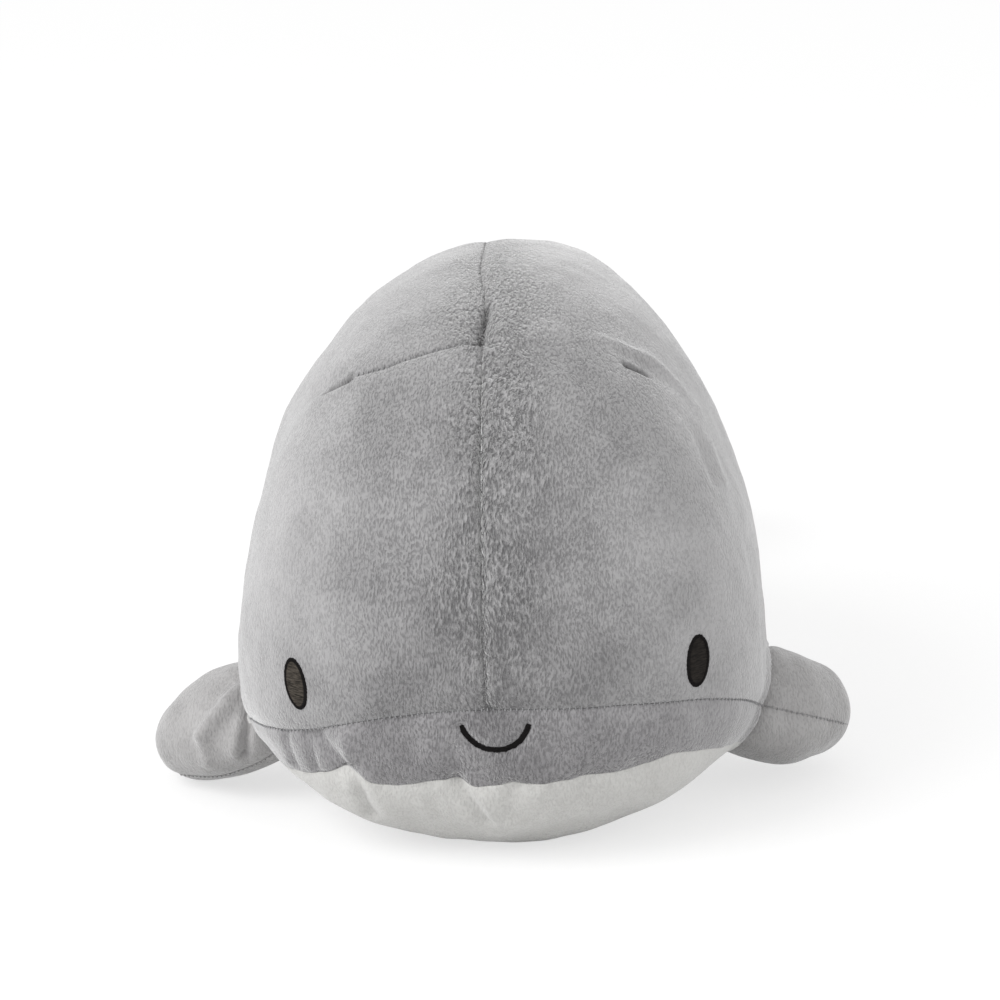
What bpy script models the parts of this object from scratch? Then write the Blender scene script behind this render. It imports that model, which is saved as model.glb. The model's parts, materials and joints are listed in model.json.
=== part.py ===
"""Stuffed toy whale, lying on its belly, in metres, with +Z up.

The nose points to -Y and the tail to +Y. Left and right are the whale's own sides, so its left
flipper is at +X. The fabric panels are cut from one swelling body surface along its seams, and
they lie over a stuffing core that follows the same surface further in.
"""
import math

import bpy
from mathutils import Matrix, Vector

# Body sizes
BODY_LENGTH = 0.375
BODY_WIDTH = 0.2506
BODY_HEIGHT = 0.255
NOSE_HEIGHT = 0.0838
WIDEST_HEIGHT = 0.064
WIDEST_FROM_NOSE = 0.1087
HIGHEST_FROM_NOSE = 0.183
CONTACT_FROM_NOSE = 0.0634
CONTACT_LENGTH = 0.152
STALK_WIDTH = 0.050
STALK_THICKNESS = 0.020
STALK_HEIGHT = 0.095
CHIN_END_FROM_NOSE = 0.100

# Roundness of the body's curves, where 2 is an ellipse and more is squarer
PLAN_POWER = 2.72
FOREHEAD_POWER = 2.33
CHIN_POWER = 2.65
BACK_POWER = 2.32
BELLY_POWER = 2.0
REAR_POWER = 1.25

# How far the side seam drops below the widest line, as a share of the lower half
SEAM_DROP_SHARE = 0.30
SEAM_DROP_POWER = 0.6

# Fabric
PILE_THICKNESS = 0.003
SEAM_GAP = 0.0003
SEAM_TUCK = 0.0010
FLAT_CUT = 0.0005

# Flippers
FLIPPER_FROM_NOSE = 0.088
FLIPPER_ROOT_LENGTH = 0.058
FLIPPER_REACH = 0.050
FLIPPER_CHORD = 0.068
FLIPPER_THICKNESS = 0.052
FLIPPER_SWEEP = 0.018
FLIPPER_ROOT_RADIUS = 0.005
LEFT_DROOP = math.radians(19)
RIGHT_DROOP = math.radians(28)
FLIPPER_SWELL_SHARE = 0.36
ROOT_CHORD_SHARE = 0.84

# Tail fin
FLUKE_LENGTH = 0.082
FLUKE_SPAN = 0.172
FLUKE_THICKNESS = 0.026
FLUKE_NOTCH = 0.020
FLUKE_AXIS_SETBACK = 0.005
FLUKE_TIP_SHARE = 0.74
FLUKE_LOBE_SHARE = 0.40
FLUKE_LEAD_POWER = 1.5
FLUKE_TRAIL_POWER = 6
FLUKE_PLUMP_POWER = 3

# Embroidery
EYE_FROM_CENTRE = 0.092
EYE_HEIGHT = 0.0945
EYE_WIDTH = 0.0145
EYE_TALL = 0.026
EYE_TILT = math.radians(6)
EYE_RIM = 0.0021
RIM_THICKNESS = 0.0010
FILL_THICKNESS = 0.0008
MOUTH_RADIUS = 0.0150
MOUTH_HALF_ANGLE = math.radians(78)
MOUTH_FROM_CENTRE = 0.0050
MOUTH_HEIGHT = 0.0640
MOUTH_STROKE = 0.0028
MOUTH_THICKNESS = 0.0010

# Numbers of facets
CHIN_ROWS = 8
BENT_ROWS = 6
REAR_ROWS = 12
SIDE_COLUMNS = 9
UNDER_COLUMNS = 7
DART_ROW = 7
DART_COLUMNS = 3
FLIPPER_RINGS = 8
FLIPPER_COLUMNS = 14
FLUKE_RINGS = 16
FLUKE_COLUMNS = 12
EYE_SEGMENTS = 20
MOUTH_SEGMENTS = 14
FRONT_ROW_POWER = 2.6
REAR_ROW_POWER = 1.35
BISECTIONS = 40
SMALL_STEP_SHARE = 0.001
SHARP_ANGLE = math.radians(40)

# Worked out from the sizes above
ALL_ROWS = CHIN_ROWS + REAR_ROWS
BOTTOM_COLUMN = SIDE_COLUMNS + UNDER_COLUMNS
MOUTH_STANDS_OUT = SEAM_GAP + MOUTH_THICKNESS
OVERALL_LENGTH = MOUTH_STANDS_OUT + BODY_LENGTH + SEAM_GAP + FLUKE_LENGTH
NOSE_Y = MOUTH_STANDS_OUT - OVERALL_LENGTH / 2
TAIL_Y = NOSE_Y + BODY_LENGTH
STUFFING_INSET = PILE_THICKNESS + SEAM_GAP

# Colours and roughness of the fabrics and threads
GREY_PILE = (0.41, 0.41, 0.42)
CHIN_GREY = (0.36, 0.36, 0.37)
WHITE_PILE = (0.80, 0.79, 0.76)
FIBRE_WHITE = (0.86, 0.86, 0.85)
DARK_THREAD = (0.012, 0.011, 0.011)
BROWN_THREAD = (0.060, 0.048, 0.040)
PILE_ROUGHNESS = 0.95
THREAD_ROUGHNESS = 0.5


def held(share):
    """A share kept between 0 and 1."""
    return min(max(share, 0), 1)


def dome(share, power):
    """Rise of a rounded end, from 0 at its tip to 1 where it is full."""
    return (1 - (1 - held(share)) ** power) ** (1 / power)


def ease(share):
    """Soft rise from 0 to 1."""
    return (1 - math.cos(math.pi * held(share))) / 2


def taper(share):
    """Soft fall from 1 to 0, which stays full for longer the higher the power is."""
    return 1 - ease(held(share) ** REAR_POWER)


def body_section(way, inset=0):
    """Half width, top, widest height and bottom of the body, at a share of its length."""
    run = way * BODY_LENGTH
    half = BODY_WIDTH / 2
    if run < WIDEST_FROM_NOSE:
        width = (half - inset) * dome(run / WIDEST_FROM_NOSE, PLAN_POWER)
        rise = ease(run / WIDEST_FROM_NOSE)
        middle = NOSE_HEIGHT + (WIDEST_HEIGHT - NOSE_HEIGHT) * rise
    else:
        rear = (run - WIDEST_FROM_NOSE) / (BODY_LENGTH - WIDEST_FROM_NOSE)
        width = STALK_WIDTH / 2 + (half - STALK_WIDTH / 2) * taper(rear) - inset
        middle = STALK_HEIGHT + (WIDEST_HEIGHT - STALK_HEIGHT) * taper(rear)
    stalk_top = STALK_HEIGHT + STALK_THICKNESS / 2
    if run < HIGHEST_FROM_NOSE:
        rise = dome(run / HIGHEST_FROM_NOSE, FOREHEAD_POWER)
        top = NOSE_HEIGHT + (BODY_HEIGHT - inset - NOSE_HEIGHT) * rise
    else:
        rear = (run - HIGHEST_FROM_NOSE) / (BODY_LENGTH - HIGHEST_FROM_NOSE)
        top = stalk_top + (BODY_HEIGHT - stalk_top) * taper(rear) - inset
    floor = inset - FLAT_CUT
    stalk_bottom = STALK_HEIGHT - STALK_THICKNESS / 2
    contact_end = CONTACT_FROM_NOSE + CONTACT_LENGTH
    if run < CONTACT_FROM_NOSE:
        drop = dome(run / CONTACT_FROM_NOSE, CHIN_POWER)
        bottom = NOSE_HEIGHT + (floor - NOSE_HEIGHT) * drop
    else:
        rear = (run - contact_end) / (BODY_LENGTH - contact_end)
        bottom = floor + (stalk_bottom + FLAT_CUT) * (1 - taper(rear))
    return width, top, middle, bottom


def section_point(way, angle, side, inset=0):
    """Point of the body at a share of its length and an angle round it, from 0 at the top."""
    width, top, middle, bottom = body_section(way, inset)
    upright = math.cos(angle)
    power = BACK_POWER if upright > 0 else BELLY_POWER
    reach = top - middle if upright > 0 else bottom - middle
    x = side * width * abs(math.sin(angle)) ** (2 / power)
    y = NOSE_Y + inset * (1 - way) + way * BODY_LENGTH
    z = middle + reach * abs(upright) ** (2 / power)
    return Vector((x, y, z))


def seam_angle(way):
    """Angle round the body of the side seam, which starts at the nose and ends at the tail."""
    drop = SEAM_DROP_SHARE * math.sin(math.pi * held(way)) ** SEAM_DROP_POWER
    return math.pi / 2 + math.asin(drop ** (BELLY_POWER / 2))


def seam_point(run, side, inset=0):
    """Point of the side seam at a distance from the nose, a way in from the surface."""
    way = run / BODY_LENGTH
    return section_point(way, seam_angle(way), side, inset)


def flat_edge_angle(way):
    """Angle round the body at which the belly comes down to the flat that it lies on."""
    middle = body_section(way)[2]
    upright = (middle / (middle + FLAT_CUT)) ** (BELLY_POWER / 2)
    return math.pi - math.acos(upright)


def column_angle(way, column):
    """Angle of a column of the body grid.

    The side columns share out the side down to its seam. The columns of the underside go on from
    there to the edge of the flat, and the last one runs down the middle of the flat.
    """
    seam = seam_angle(way)
    step = abs(column)
    if step <= SIDE_COLUMNS:
        return seam * step / SIDE_COLUMNS
    if step == BOTTOM_COLUMN:
        return math.pi
    share = (step - SIDE_COLUMNS) / (UNDER_COLUMNS - 1)
    return seam + (flat_edge_angle(way) - seam) * share


def chin_line_way(column):
    """Share of the body's length at which a column has come down to the chin line."""
    column = max(abs(column), SIDE_COLUMNS)
    level = seam_point(CHIN_END_FROM_NOSE, 1).z
    low, high = 0, CHIN_END_FROM_NOSE / BODY_LENGTH
    for _ in range(BISECTIONS):
        middle = (low + high) / 2
        height = section_point(middle, column_angle(middle, column), 1).z
        low, high = (middle, high) if height > level else (low, middle)
    return low


def grid_point(row, column, inset=0):
    """Point where a row and a column of the body grid cross, a way in from the surface.

    The rows bend forwards under the chin line and are square to the body again behind it.
    """
    if column > BOTTOM_COLUMN:
        column -= 2 * BOTTOM_COLUMN
    chin_way = chin_line_way(column)
    if row <= CHIN_ROWS:
        way = chin_way * (row / CHIN_ROWS) ** FRONT_ROW_POWER
    else:
        seam_way = chin_line_way(SIDE_COLUMNS)
        bend = max(1 - (row - CHIN_ROWS) / BENT_ROWS, 0)
        rear = ((row - CHIN_ROWS) / REAR_ROWS) ** REAR_ROW_POWER
        way = seam_way + (1 - seam_way) * rear - (seam_way - chin_way) * bend
    side = -1 if column < 0 else 1
    point = section_point(way, column_angle(way, column), side, inset)
    if inset < PILE_THICKNESS:
        point.z = max(point.z, 0)
    return point


def draw_back(point, target, seam):
    """A point moved towards another one, until it is half a seam gap clear of the seam."""
    away = (target - point).normalized()
    slant = away.cross(seam.normalized()).length
    return point + away * (SEAM_GAP / 2 / slant)


def new_object(name, points, faces, material, parent=None):
    """Mesh object from points and faces, smooth apart from its sharp rims."""
    mesh = bpy.data.meshes.new(name)
    mesh.from_pydata(points, [], faces)
    mesh.materials.append(material)
    mesh.shade_smooth()
    mesh.set_sharp_from_angle(angle=SHARP_ANGLE)
    piece = bpy.data.objects.new(name, mesh)
    piece.parent = parent
    bpy.context.scene.collection.objects.link(piece)
    return piece


def fabric(name, colour, roughness=PILE_ROUGHNESS):
    """Plain material of a fabric or a thread."""
    material = bpy.data.materials.new(name)
    material.use_nodes = True
    shader = material.node_tree.nodes["Principled BSDF"]
    shader.inputs["Base Color"].default_value = (*colour, 1)
    shader.inputs["Roughness"].default_value = roughness
    shader.inputs["Metallic"].default_value = 0
    return material


def shell(name, outer, inner, faces, material, parent=None):
    """Closed wall between an outer and an inner skin that share their faces."""
    keys = list(outer)
    index = {key: number for number, key in enumerate(keys)}
    count = len(keys)
    points = [outer[key] for key in keys] + [inner[key] for key in keys]
    solid = [[index[key] for key in face] for face in faces]
    edges = {(a, b) for face in solid for a, b in zip(face, face[1:] + face[:1])}
    walls = []
    for a, b in edges:
        if (b, a) not in edges:
            walls.append([b, a, a + count])
            walls.append([b, a + count, b + count])
    backs = [[number + count for number in reversed(face)] for face in solid]
    return new_object(name, points, solid + backs + sorted(walls), material, parent)


def triangles(corners, mirrored=False):
    """The two triangles of a grid square, or the one that is left at a pole."""
    a, b, c, d = corners
    pair = ((a, b, d), (b, c, d)) if mirrored else ((a, b, c), (a, c, d))
    return [face for face in pair if len(set(face)) == 3]


def body_square(row, column, key):
    """Triangles of one square of the body grid, mirrored on the whale's right side."""
    corners = ((row, column), (row, column + 1), (row + 1, column + 1), (row + 1, column))
    mirrored = column < 0 or column >= BOTTOM_COLUMN
    return triangles([key(*corner) for corner in corners], mirrored)


def body_core(material):
    """Stuffing of head, body and tail stalk, one closed swelling form."""
    columns = range(-BOTTOM_COLUMN, BOTTOM_COLUMN)

    def key(row, column):
        if column == BOTTOM_COLUMN:
            column = -BOTTOM_COLUMN
        return (row, column) if row else (0, 0)

    faces = []
    for row in range(ALL_ROWS):
        for column in columns:
            faces += body_square(row, column, key)
    keys = sorted({corner for face in faces for corner in face})
    index = {corner: number for number, corner in enumerate(keys)}
    points = [grid_point(*corner, STUFFING_INSET) for corner in keys]
    solid = [[index[corner] for corner in face] for face in faces]
    solid.append([index[key(ALL_ROWS, column)] for column in columns])
    return new_object("body_stuffing", points, solid, material)


def body_panel(name, rows, columns, material, dart=0):
    """Fabric panel: a stretch of the body grid, drawn back from its seams by half their gap.

    A dart is a slit across that many columns from the centre seam, and its edges meet at its tip.
    """
    first_row, last_row = rows
    first, last = columns

    def on_dart(row, column):
        return row == DART_ROW and abs(column) < dart

    def front_key(row, column):
        return (row, column, 0) if row else (0, 0, 0)

    def rear_key(row, column):
        return (row, column, 1 if on_dart(row, column) else 0)

    def place(corner, inset):
        row, column, behind = corner
        if row == 0:
            middle = (first + last) // 2
            start = grid_point(0, middle, inset)
            return draw_back(start, grid_point(1, middle, inset), Vector((1, 0, 1)))
        along, across = (1, 0), (0, 1)
        moves = []
        if column in (first, last):
            moves.append((0, 1 if column == first else -1, along))
        if row == first_row:
            moves.append((1, 0, across))
        if row == last_row and row < ALL_ROWS:
            moves.append((-1, 0, across))
        if on_dart(row, column):
            moves.append((1 if behind else -1, 0, across))
        if moves and inset == 0:
            inset = SEAM_TUCK
        start = point = grid_point(row, column, inset)
        for rows_on, columns_on, (down, over) in moves:
            after = grid_point(min(row + down, ALL_ROWS), column + over, inset)
            before = grid_point(row - down, column - over, inset)
            target = grid_point(row + rows_on, column + columns_on, inset)
            point = point + draw_back(start, target, after - before) - start
        return point

    faces = []
    for row in range(first_row, last_row):
        for column in range(first, last):
            faces += body_square(row, column, rear_key if row >= DART_ROW else front_key)
    keys = sorted({corner for face in faces for corner in face})
    outer = {corner: place(corner, 0) for corner in keys}
    inner = {corner: place(corner, PILE_THICKNESS) for corner in keys}
    return shell(name, outer, inner, faces, material)


def surface_normal(way, angle, side):
    """Outward direction of the body's surface."""
    step = SMALL_STEP_SHARE
    along = section_point(way + step, angle, side) - section_point(way - step, angle, side)
    around = section_point(way, angle + step, side) - section_point(way, angle - step, side)
    normal = along.cross(around).normalized()
    return normal if normal.x * side > 0 else -normal


def hinge_empty(name, origin, outward, along, upward):
    """Empty on a joint's axis, which the moving pieces hang from."""
    empty = bpy.data.objects.new(name, None)
    bpy.context.scene.collection.objects.link(empty)
    turn = Matrix((outward, along, upward)).transposed().to_4x4()
    empty.matrix_world = Matrix.Translation(origin) @ turn
    empty.empty_display_size = FLIPPER_ROOT_RADIUS
    return empty


def flipper_hinge(side, droop, name):
    """Hinge along the side seam, set off so that the flipper's root just clears the sewn seam."""
    front = seam_point(FLIPPER_FROM_NOSE, side, SEAM_TUCK)
    rear = seam_point(FLIPPER_FROM_NOSE + FLIPPER_ROOT_LENGTH, side, SEAM_TUCK)
    along = (rear - front).normalized()
    run = FLIPPER_FROM_NOSE + FLIPPER_ROOT_LENGTH / 2
    way = run / BODY_LENGTH
    normal = surface_normal(way, seam_angle(way), side)
    normal = (normal - along * normal.dot(along)).normalized()
    runs = [FLIPPER_FROM_NOSE + FLIPPER_ROOT_LENGTH * step / ALL_ROWS for step in range(ALL_ROWS)]
    bulge = max((seam_point(run, side, SEAM_TUCK) - front).dot(normal) for run in runs)
    origin = (front + rear) / 2 + normal * (bulge + SEAM_GAP + FLIPPER_ROOT_RADIUS)
    level = Vector((side, 0, 0))
    level = (level - along * level.dot(along)).normalized()
    outward = Matrix.Rotation(side * droop, 3, along) @ level
    upward = (outward * side).cross(along)
    return hinge_empty(name, origin, outward * side, along, upward)


def flipper_point(ring, column, side, inset):
    """Point of a flipper, in its hinge's frame: a loft of flat ellipses out to a rounded tip."""
    share = ease(ring / FLIPPER_RINGS)
    length = FLIPPER_REACH + FLIPPER_ROOT_RADIUS
    out = inset - FLIPPER_ROOT_RADIUS + share * (length - 2 * inset)
    if share < FLIPPER_SWELL_SHARE:
        swell = share / FLIPPER_SWELL_SHARE
        thick = math.sin(math.pi / 2 * swell)
        broad = ROOT_CHORD_SHARE + (1 - ROOT_CHORD_SHARE) * thick
    else:
        fall = (share - FLIPPER_SWELL_SHARE) / (1 - FLIPPER_SWELL_SHARE)
        thick = math.sqrt(max(1 - fall ** 2, 0))
        broad = thick
    angle = math.tau * column / FLIPPER_COLUMNS
    back = FLIPPER_SWEEP * share - (FLIPPER_CHORD / 2 - inset) * broad * math.cos(angle)
    rise = (FLIPPER_THICKNESS / 2 - inset) * thick * math.sin(angle)
    return Vector((side * out, back, rise))


def fluke_point(ring, column, inset):
    """Point of the tail fin, in its hinge's frame: two lobes with a notch between them."""
    turn = math.pi * (ring / FLUKE_RINGS - 0.5)
    span = math.sin(turn)
    reach = abs(span)
    root = STALK_WIDTH / FLUKE_SPAN
    lead = FLUKE_LENGTH * FLUKE_TIP_SHARE * max((reach - root) / (1 - root), 0) ** FLUKE_LEAD_POWER
    rear = FLUKE_LENGTH * (1 - FLUKE_TIP_SHARE) * math.sqrt(max(1 - reach ** FLUKE_TRAIL_POWER, 0))
    notch = FLUKE_NOTCH * max(1 - reach / FLUKE_LOBE_SHARE, 0) ** 2
    trail = FLUKE_LENGTH * FLUKE_TIP_SHARE + rear - notch
    angle = math.tau * column / FLUKE_COLUMNS
    out = (lead + trail) / 2 - (trail - lead) / 2 * math.cos(angle)
    plump = math.sqrt(max(1 - reach ** FLUKE_PLUMP_POWER, 0))
    rise = FLUKE_THICKNESS / 2 * plump * math.sin(angle)
    centre = FLUKE_LENGTH / 2
    slim = 1 - inset / (FLUKE_SPAN / 2)
    short = 1 - inset / centre
    flat = 1 - inset / (FLUKE_THICKNESS / 2)
    back = centre + (out - centre) * short - FLUKE_AXIS_SETBACK
    return Vector((span * FLUKE_SPAN / 2 * slim, back, rise * flat))


def padded_limb(name, point, rings, columns, poles, flip, pile, stuffing, parent):
    """Upper and lower fabric panels over a stuffing, sewn together along their outline."""
    half = columns // 2

    def key(ring, column):
        column %= columns
        if ring in poles:
            return (ring, 0)
        if ring == 0:
            return (0, min(column, columns - column))
        return (ring, column)

    def side_faces(first, last):
        faces = []
        for ring in range(rings):
            for column in range(first, last):
                corners = ((ring, column), (ring, column + 1), (ring + 1, column + 1), (ring + 1, column))
                faces += triangles([key(*corner) for corner in corners])
        return [tuple(reversed(face)) for face in faces] if flip else faces

    for part, first, last, way in (("upper", 0, half, 1), ("lower", half, columns, -1)):
        faces = side_faces(first, last)
        skins = []
        for inset in (0, PILE_THICKNESS):
            skin = {}
            for corner in sorted({corner for face in faces for corner in face}):
                spot = point(*corner, inset)
                spot.z = way * max(way * spot.z, SEAM_GAP / 2)
                skin[corner] = spot
            skins.append(skin)
        shell(f"{name}_{part}_panel", *skins, faces, pile, parent)
    faces = side_faces(0, columns)
    keys = sorted({corner for face in faces for corner in face})
    index = {corner: number for number, corner in enumerate(keys)}
    points = [point(*corner, STUFFING_INSET) for corner in keys]
    solid = [[index[corner] for corner in face] for face in faces]
    new_object(f"{name}_stuffing", points, solid, stuffing, parent)


def flipper(side, droop, name, pile, stuffing):
    """One flipper on its hinge."""
    hinge = flipper_hinge(side, droop, f"{name}_hinge")

    def point(ring, column, inset):
        return flipper_point(ring, column, side, inset)

    padded_limb(name, point, FLIPPER_RINGS, FLIPPER_COLUMNS, (FLIPPER_RINGS,), side > 0,
                pile, stuffing, hinge)


def tail_fin(pile, stuffing):
    """Tail fin on its hinge behind the end of the stalk."""
    origin = Vector((0, TAIL_Y + SEAM_GAP + FLUKE_AXIS_SETBACK, STALK_HEIGHT))
    axes = Vector((1, 0, 0)), Vector((0, 1, 0)), Vector((0, 0, 1))
    hinge = hinge_empty("fluke_hinge", origin, *axes)
    padded_limb("fluke", fluke_point, FLUKE_RINGS, FLUKE_COLUMNS, (0, FLUKE_RINGS), True,
                pile, stuffing, hinge)


def inside(point, inset):
    """Whether a point lies in the body, grown or shrunk by an inset."""
    way = (point.y - NOSE_Y - inset) / (BODY_LENGTH - inset)
    if way <= 0 or way >= 1:
        return False
    width, top, middle, bottom = body_section(way, inset)
    power = BACK_POWER if point.z > middle else BELLY_POWER
    reach = top - middle if point.z > middle else middle - bottom
    return abs(point.x / width) ** power + abs((point.z - middle) / reach) ** power < 1


def sew_down(point, direction, inset):
    """Where a line through a point near the body, along a direction, meets its surface."""
    low, high = -EYE_TALL, EYE_TALL
    for _ in range(BISECTIONS):
        middle = (low + high) / 2
        low, high = (low, middle) if inside(point + direction * middle, inset) else (middle, high)
    return point + direction * low


def face_point(x, z, inset=0):
    """Point of the front of the body at a place across and up."""
    low, high = NOSE_Y - EYE_TALL, NOSE_Y + WIDEST_FROM_NOSE
    for _ in range(BISECTIONS):
        middle = (low + high) / 2
        low, high = (low, middle) if inside(Vector((x, middle, z)), inset) else (middle, high)
    return Vector((x, low, z))


def stitched(name, places, faces, direction, thickness, material):
    """Patch of stitches, which lies on the fabric and follows its curve."""
    top, base = {}, {}
    for key, place in places.items():
        base[key] = sew_down(place, direction, -SEAM_GAP)
        top[key] = sew_down(place, direction, -SEAM_GAP - thickness)
    return shell(name, top, base, faces, material)


def eye(side, name, fill, rim):
    """Embroidered oval: a filled middle and a satin stitched rim."""
    centre = face_point(side * EYE_FROM_CENTRE, EYE_HEIGHT)
    step = EYE_RIM
    across = face_point(centre.x + step, centre.z) - face_point(centre.x - step, centre.z)
    up = face_point(centre.x, centre.z + step) - face_point(centre.x, centre.z - step)
    normal = across.cross(up).normalized()
    sideways = Vector((0, 0, 1)).cross(normal).normalized()
    lean = Matrix.Rotation(-side * EYE_TILT, 3, normal)
    sideways = lean @ sideways
    upward = normal.cross(sideways)

    def ring(inset):
        places = []
        for segment in range(EYE_SEGMENTS):
            angle = math.tau * segment / EYE_SEGMENTS
            across = sideways * (EYE_WIDTH / 2 - inset) * math.cos(angle)
            places.append(centre + across + upward * (EYE_TALL / 2 - inset) * math.sin(angle))
        return places

    def band(rings):
        places = {(number, spot): place for number, ring in enumerate(rings)
                  for spot, place in enumerate(ring)}
        faces = []
        for number in range(len(rings) - 1):
            for spot in range(EYE_SEGMENTS):
                after = (spot + 1) % EYE_SEGMENTS
                faces += triangles([(number, spot), (number, after), (number + 1, after),
                                    (number + 1, spot)])
        return places, faces

    places, faces = band([ring(EYE_RIM), ring(0)])
    faces = [tuple(reversed(face)) for face in faces]
    stitched(f"{name}_outline", places, faces, -normal, RIM_THICKNESS, rim)
    edge = EYE_RIM + SEAM_GAP
    places, faces = band([ring((edge + EYE_WIDTH / 2) / 2), ring(edge)])
    places["middle"] = centre
    for spot in range(EYE_SEGMENTS):
        faces.append(("middle", (0, (spot + 1) % EYE_SEGMENTS), (0, spot)))
    faces = [tuple(reversed(face)) for face in faces]
    stitched(f"{name}_fill", places, faces, -normal, FILL_THICKNESS, fill)


def mouth(thread):
    """Embroidered smile: a band of satin stitches along an arc."""
    places = {}
    faces = []
    for segment in range(MOUTH_SEGMENTS + 1):
        angle = MOUTH_HALF_ANGLE * (2 * segment / MOUTH_SEGMENTS - 1)
        for edge, radius in enumerate((MOUTH_RADIUS + MOUTH_STROKE / 2, MOUTH_RADIUS - MOUTH_STROKE / 2)):
            x = MOUTH_FROM_CENTRE + radius * math.sin(angle)
            z = MOUTH_HEIGHT + MOUTH_RADIUS - radius * math.cos(angle)
            places[(segment, edge)] = face_point(x, z)
        if segment:
            before = segment - 1
            faces += triangles([(before, 0), (segment, 0), (segment, 1), (before, 1)])
    stitched("mouth_stitch", places, faces, Vector((0, 1, 0)), MOUTH_THICKNESS, thread)


def main():
    for old in list(bpy.data.objects):
        bpy.data.objects.remove(old, do_unlink=True)
    grey = fabric("grey_pile", GREY_PILE)
    chin = fabric("chin_grey_pile", CHIN_GREY)
    white = fabric("white_pile", WHITE_PILE)
    fibre = fabric("stuffing_fibre", FIBRE_WHITE)
    dark = fabric("dark_thread", DARK_THREAD, THREAD_ROUGHNESS)
    brown = fabric("brown_thread", BROWN_THREAD, THREAD_ROUGHNESS)
    body_core(fibre)
    all_rows = (0, ALL_ROWS)
    body_panel("side_panel_left", all_rows, (0, SIDE_COLUMNS), grey, DART_COLUMNS)
    body_panel("side_panel_right", all_rows, (-SIDE_COLUMNS, 0), grey, DART_COLUMNS)
    underside = (SIDE_COLUMNS, 2 * BOTTOM_COLUMN - SIDE_COLUMNS)
    body_panel("chin_panel", (0, CHIN_ROWS), underside, chin)
    body_panel("belly_panel", (CHIN_ROWS, ALL_ROWS), underside, white)
    for side, name, droop in ((1, "left", LEFT_DROOP), (-1, "right", RIGHT_DROOP)):
        flipper(side, droop, f"flipper_{name}", grey, fibre)
        eye(side, f"eye_{name}", brown, dark)
    tail_fin(grey, fibre)
    mouth(dark)


main()
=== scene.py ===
import json
import math

import bmesh
import bpy
import numpy as np
from mathutils import Matrix, Vector
from mathutils.bvhtree import BVHTree


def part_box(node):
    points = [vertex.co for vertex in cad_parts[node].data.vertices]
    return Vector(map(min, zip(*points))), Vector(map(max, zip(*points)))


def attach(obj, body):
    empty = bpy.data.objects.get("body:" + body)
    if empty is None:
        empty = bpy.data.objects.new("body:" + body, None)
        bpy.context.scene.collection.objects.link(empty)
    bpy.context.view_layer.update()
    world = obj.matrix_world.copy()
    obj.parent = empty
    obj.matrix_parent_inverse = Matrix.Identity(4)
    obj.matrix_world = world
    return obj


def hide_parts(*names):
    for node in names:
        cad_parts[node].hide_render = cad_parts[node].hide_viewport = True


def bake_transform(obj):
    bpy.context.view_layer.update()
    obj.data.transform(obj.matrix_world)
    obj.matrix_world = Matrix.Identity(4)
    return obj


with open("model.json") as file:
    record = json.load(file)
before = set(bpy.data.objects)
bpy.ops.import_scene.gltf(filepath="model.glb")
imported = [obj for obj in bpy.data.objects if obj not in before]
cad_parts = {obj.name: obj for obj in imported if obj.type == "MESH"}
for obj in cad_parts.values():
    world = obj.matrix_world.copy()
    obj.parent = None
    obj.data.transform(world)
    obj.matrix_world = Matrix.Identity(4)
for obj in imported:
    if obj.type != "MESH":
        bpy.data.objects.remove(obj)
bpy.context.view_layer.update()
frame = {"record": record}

# %% [markdown]
# # The looks of a stuffed toy whale
# The packed model is the fixed frame: it says where each panel, seam and hinge is. This file dresses
# it. Every length is in metres, the whale faces -Y, and its left side is at +X. The dressed model has
# to stay close to it.

# %% [markdown]
# ## The camera
# The photograph is taken from in front and about nineteen degrees above, from far enough away to show
# little perspective. The width of what the picture takes in gives the lens: a 36 mm sensor sees a
# width of 36 mm at the lens's own length. A small roll levels the floor as the photograph has it.

# %% Place the camera at the photograph's viewing angle
PICTURE_SIDE = 1000
PICTURE_WIDTH = 0.486
CAMERA_DISTANCE = 2.0
CAMERA_ELEVATION = math.radians(18.8)
CAMERA_YAW = math.radians(3)
CAMERA_ROLL = math.radians(2)
SIGHT_POINT = Vector((0, -0.0986, 0.110))
SIGHT_PIXEL = (502, 566)


def camera_axes():
    """Directions to the right, up and into the picture."""
    level = math.cos(CAMERA_ELEVATION)
    aside, ahead = -math.sin(CAMERA_YAW) * level, math.cos(CAMERA_YAW) * level
    into = Vector((aside, ahead, -math.sin(CAMERA_ELEVATION)))
    right = into.cross(Vector((0, 0, 1))).normalized()
    roll = Matrix.Rotation(CAMERA_ROLL, 3, into)
    right = roll @ right
    return right, right.cross(into), into


def make_camera():
    """Camera whose picture has the sight point at its pixel."""
    right, up, into = camera_axes()
    metre_per_pixel = PICTURE_WIDTH / PICTURE_SIDE
    aside = (PICTURE_SIDE / 2 - SIGHT_PIXEL[0]) * metre_per_pixel
    above = (SIGHT_PIXEL[1] - PICTURE_SIDE / 2) * metre_per_pixel
    data = bpy.data.cameras.new("camera")
    data.lens = data.sensor_width * CAMERA_DISTANCE / PICTURE_WIDTH
    data.clip_start = 0.05
    camera = bpy.data.objects.new("camera", data)
    camera.matrix_world = Matrix((right, up, -into)).transposed().to_4x4()
    camera.location = SIGHT_POINT + right * aside + up * above - into * CAMERA_DISTANCE
    bpy.context.scene.collection.objects.link(camera)
    bpy.context.scene.camera = camera
    return camera


camera = make_camera()
camera_place = np.array(camera.location)
sight_right, sight_up, sight_into = (np.array(axis) for axis in camera_axes())
print("lens", round(camera.data.lens), "mm")

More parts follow.
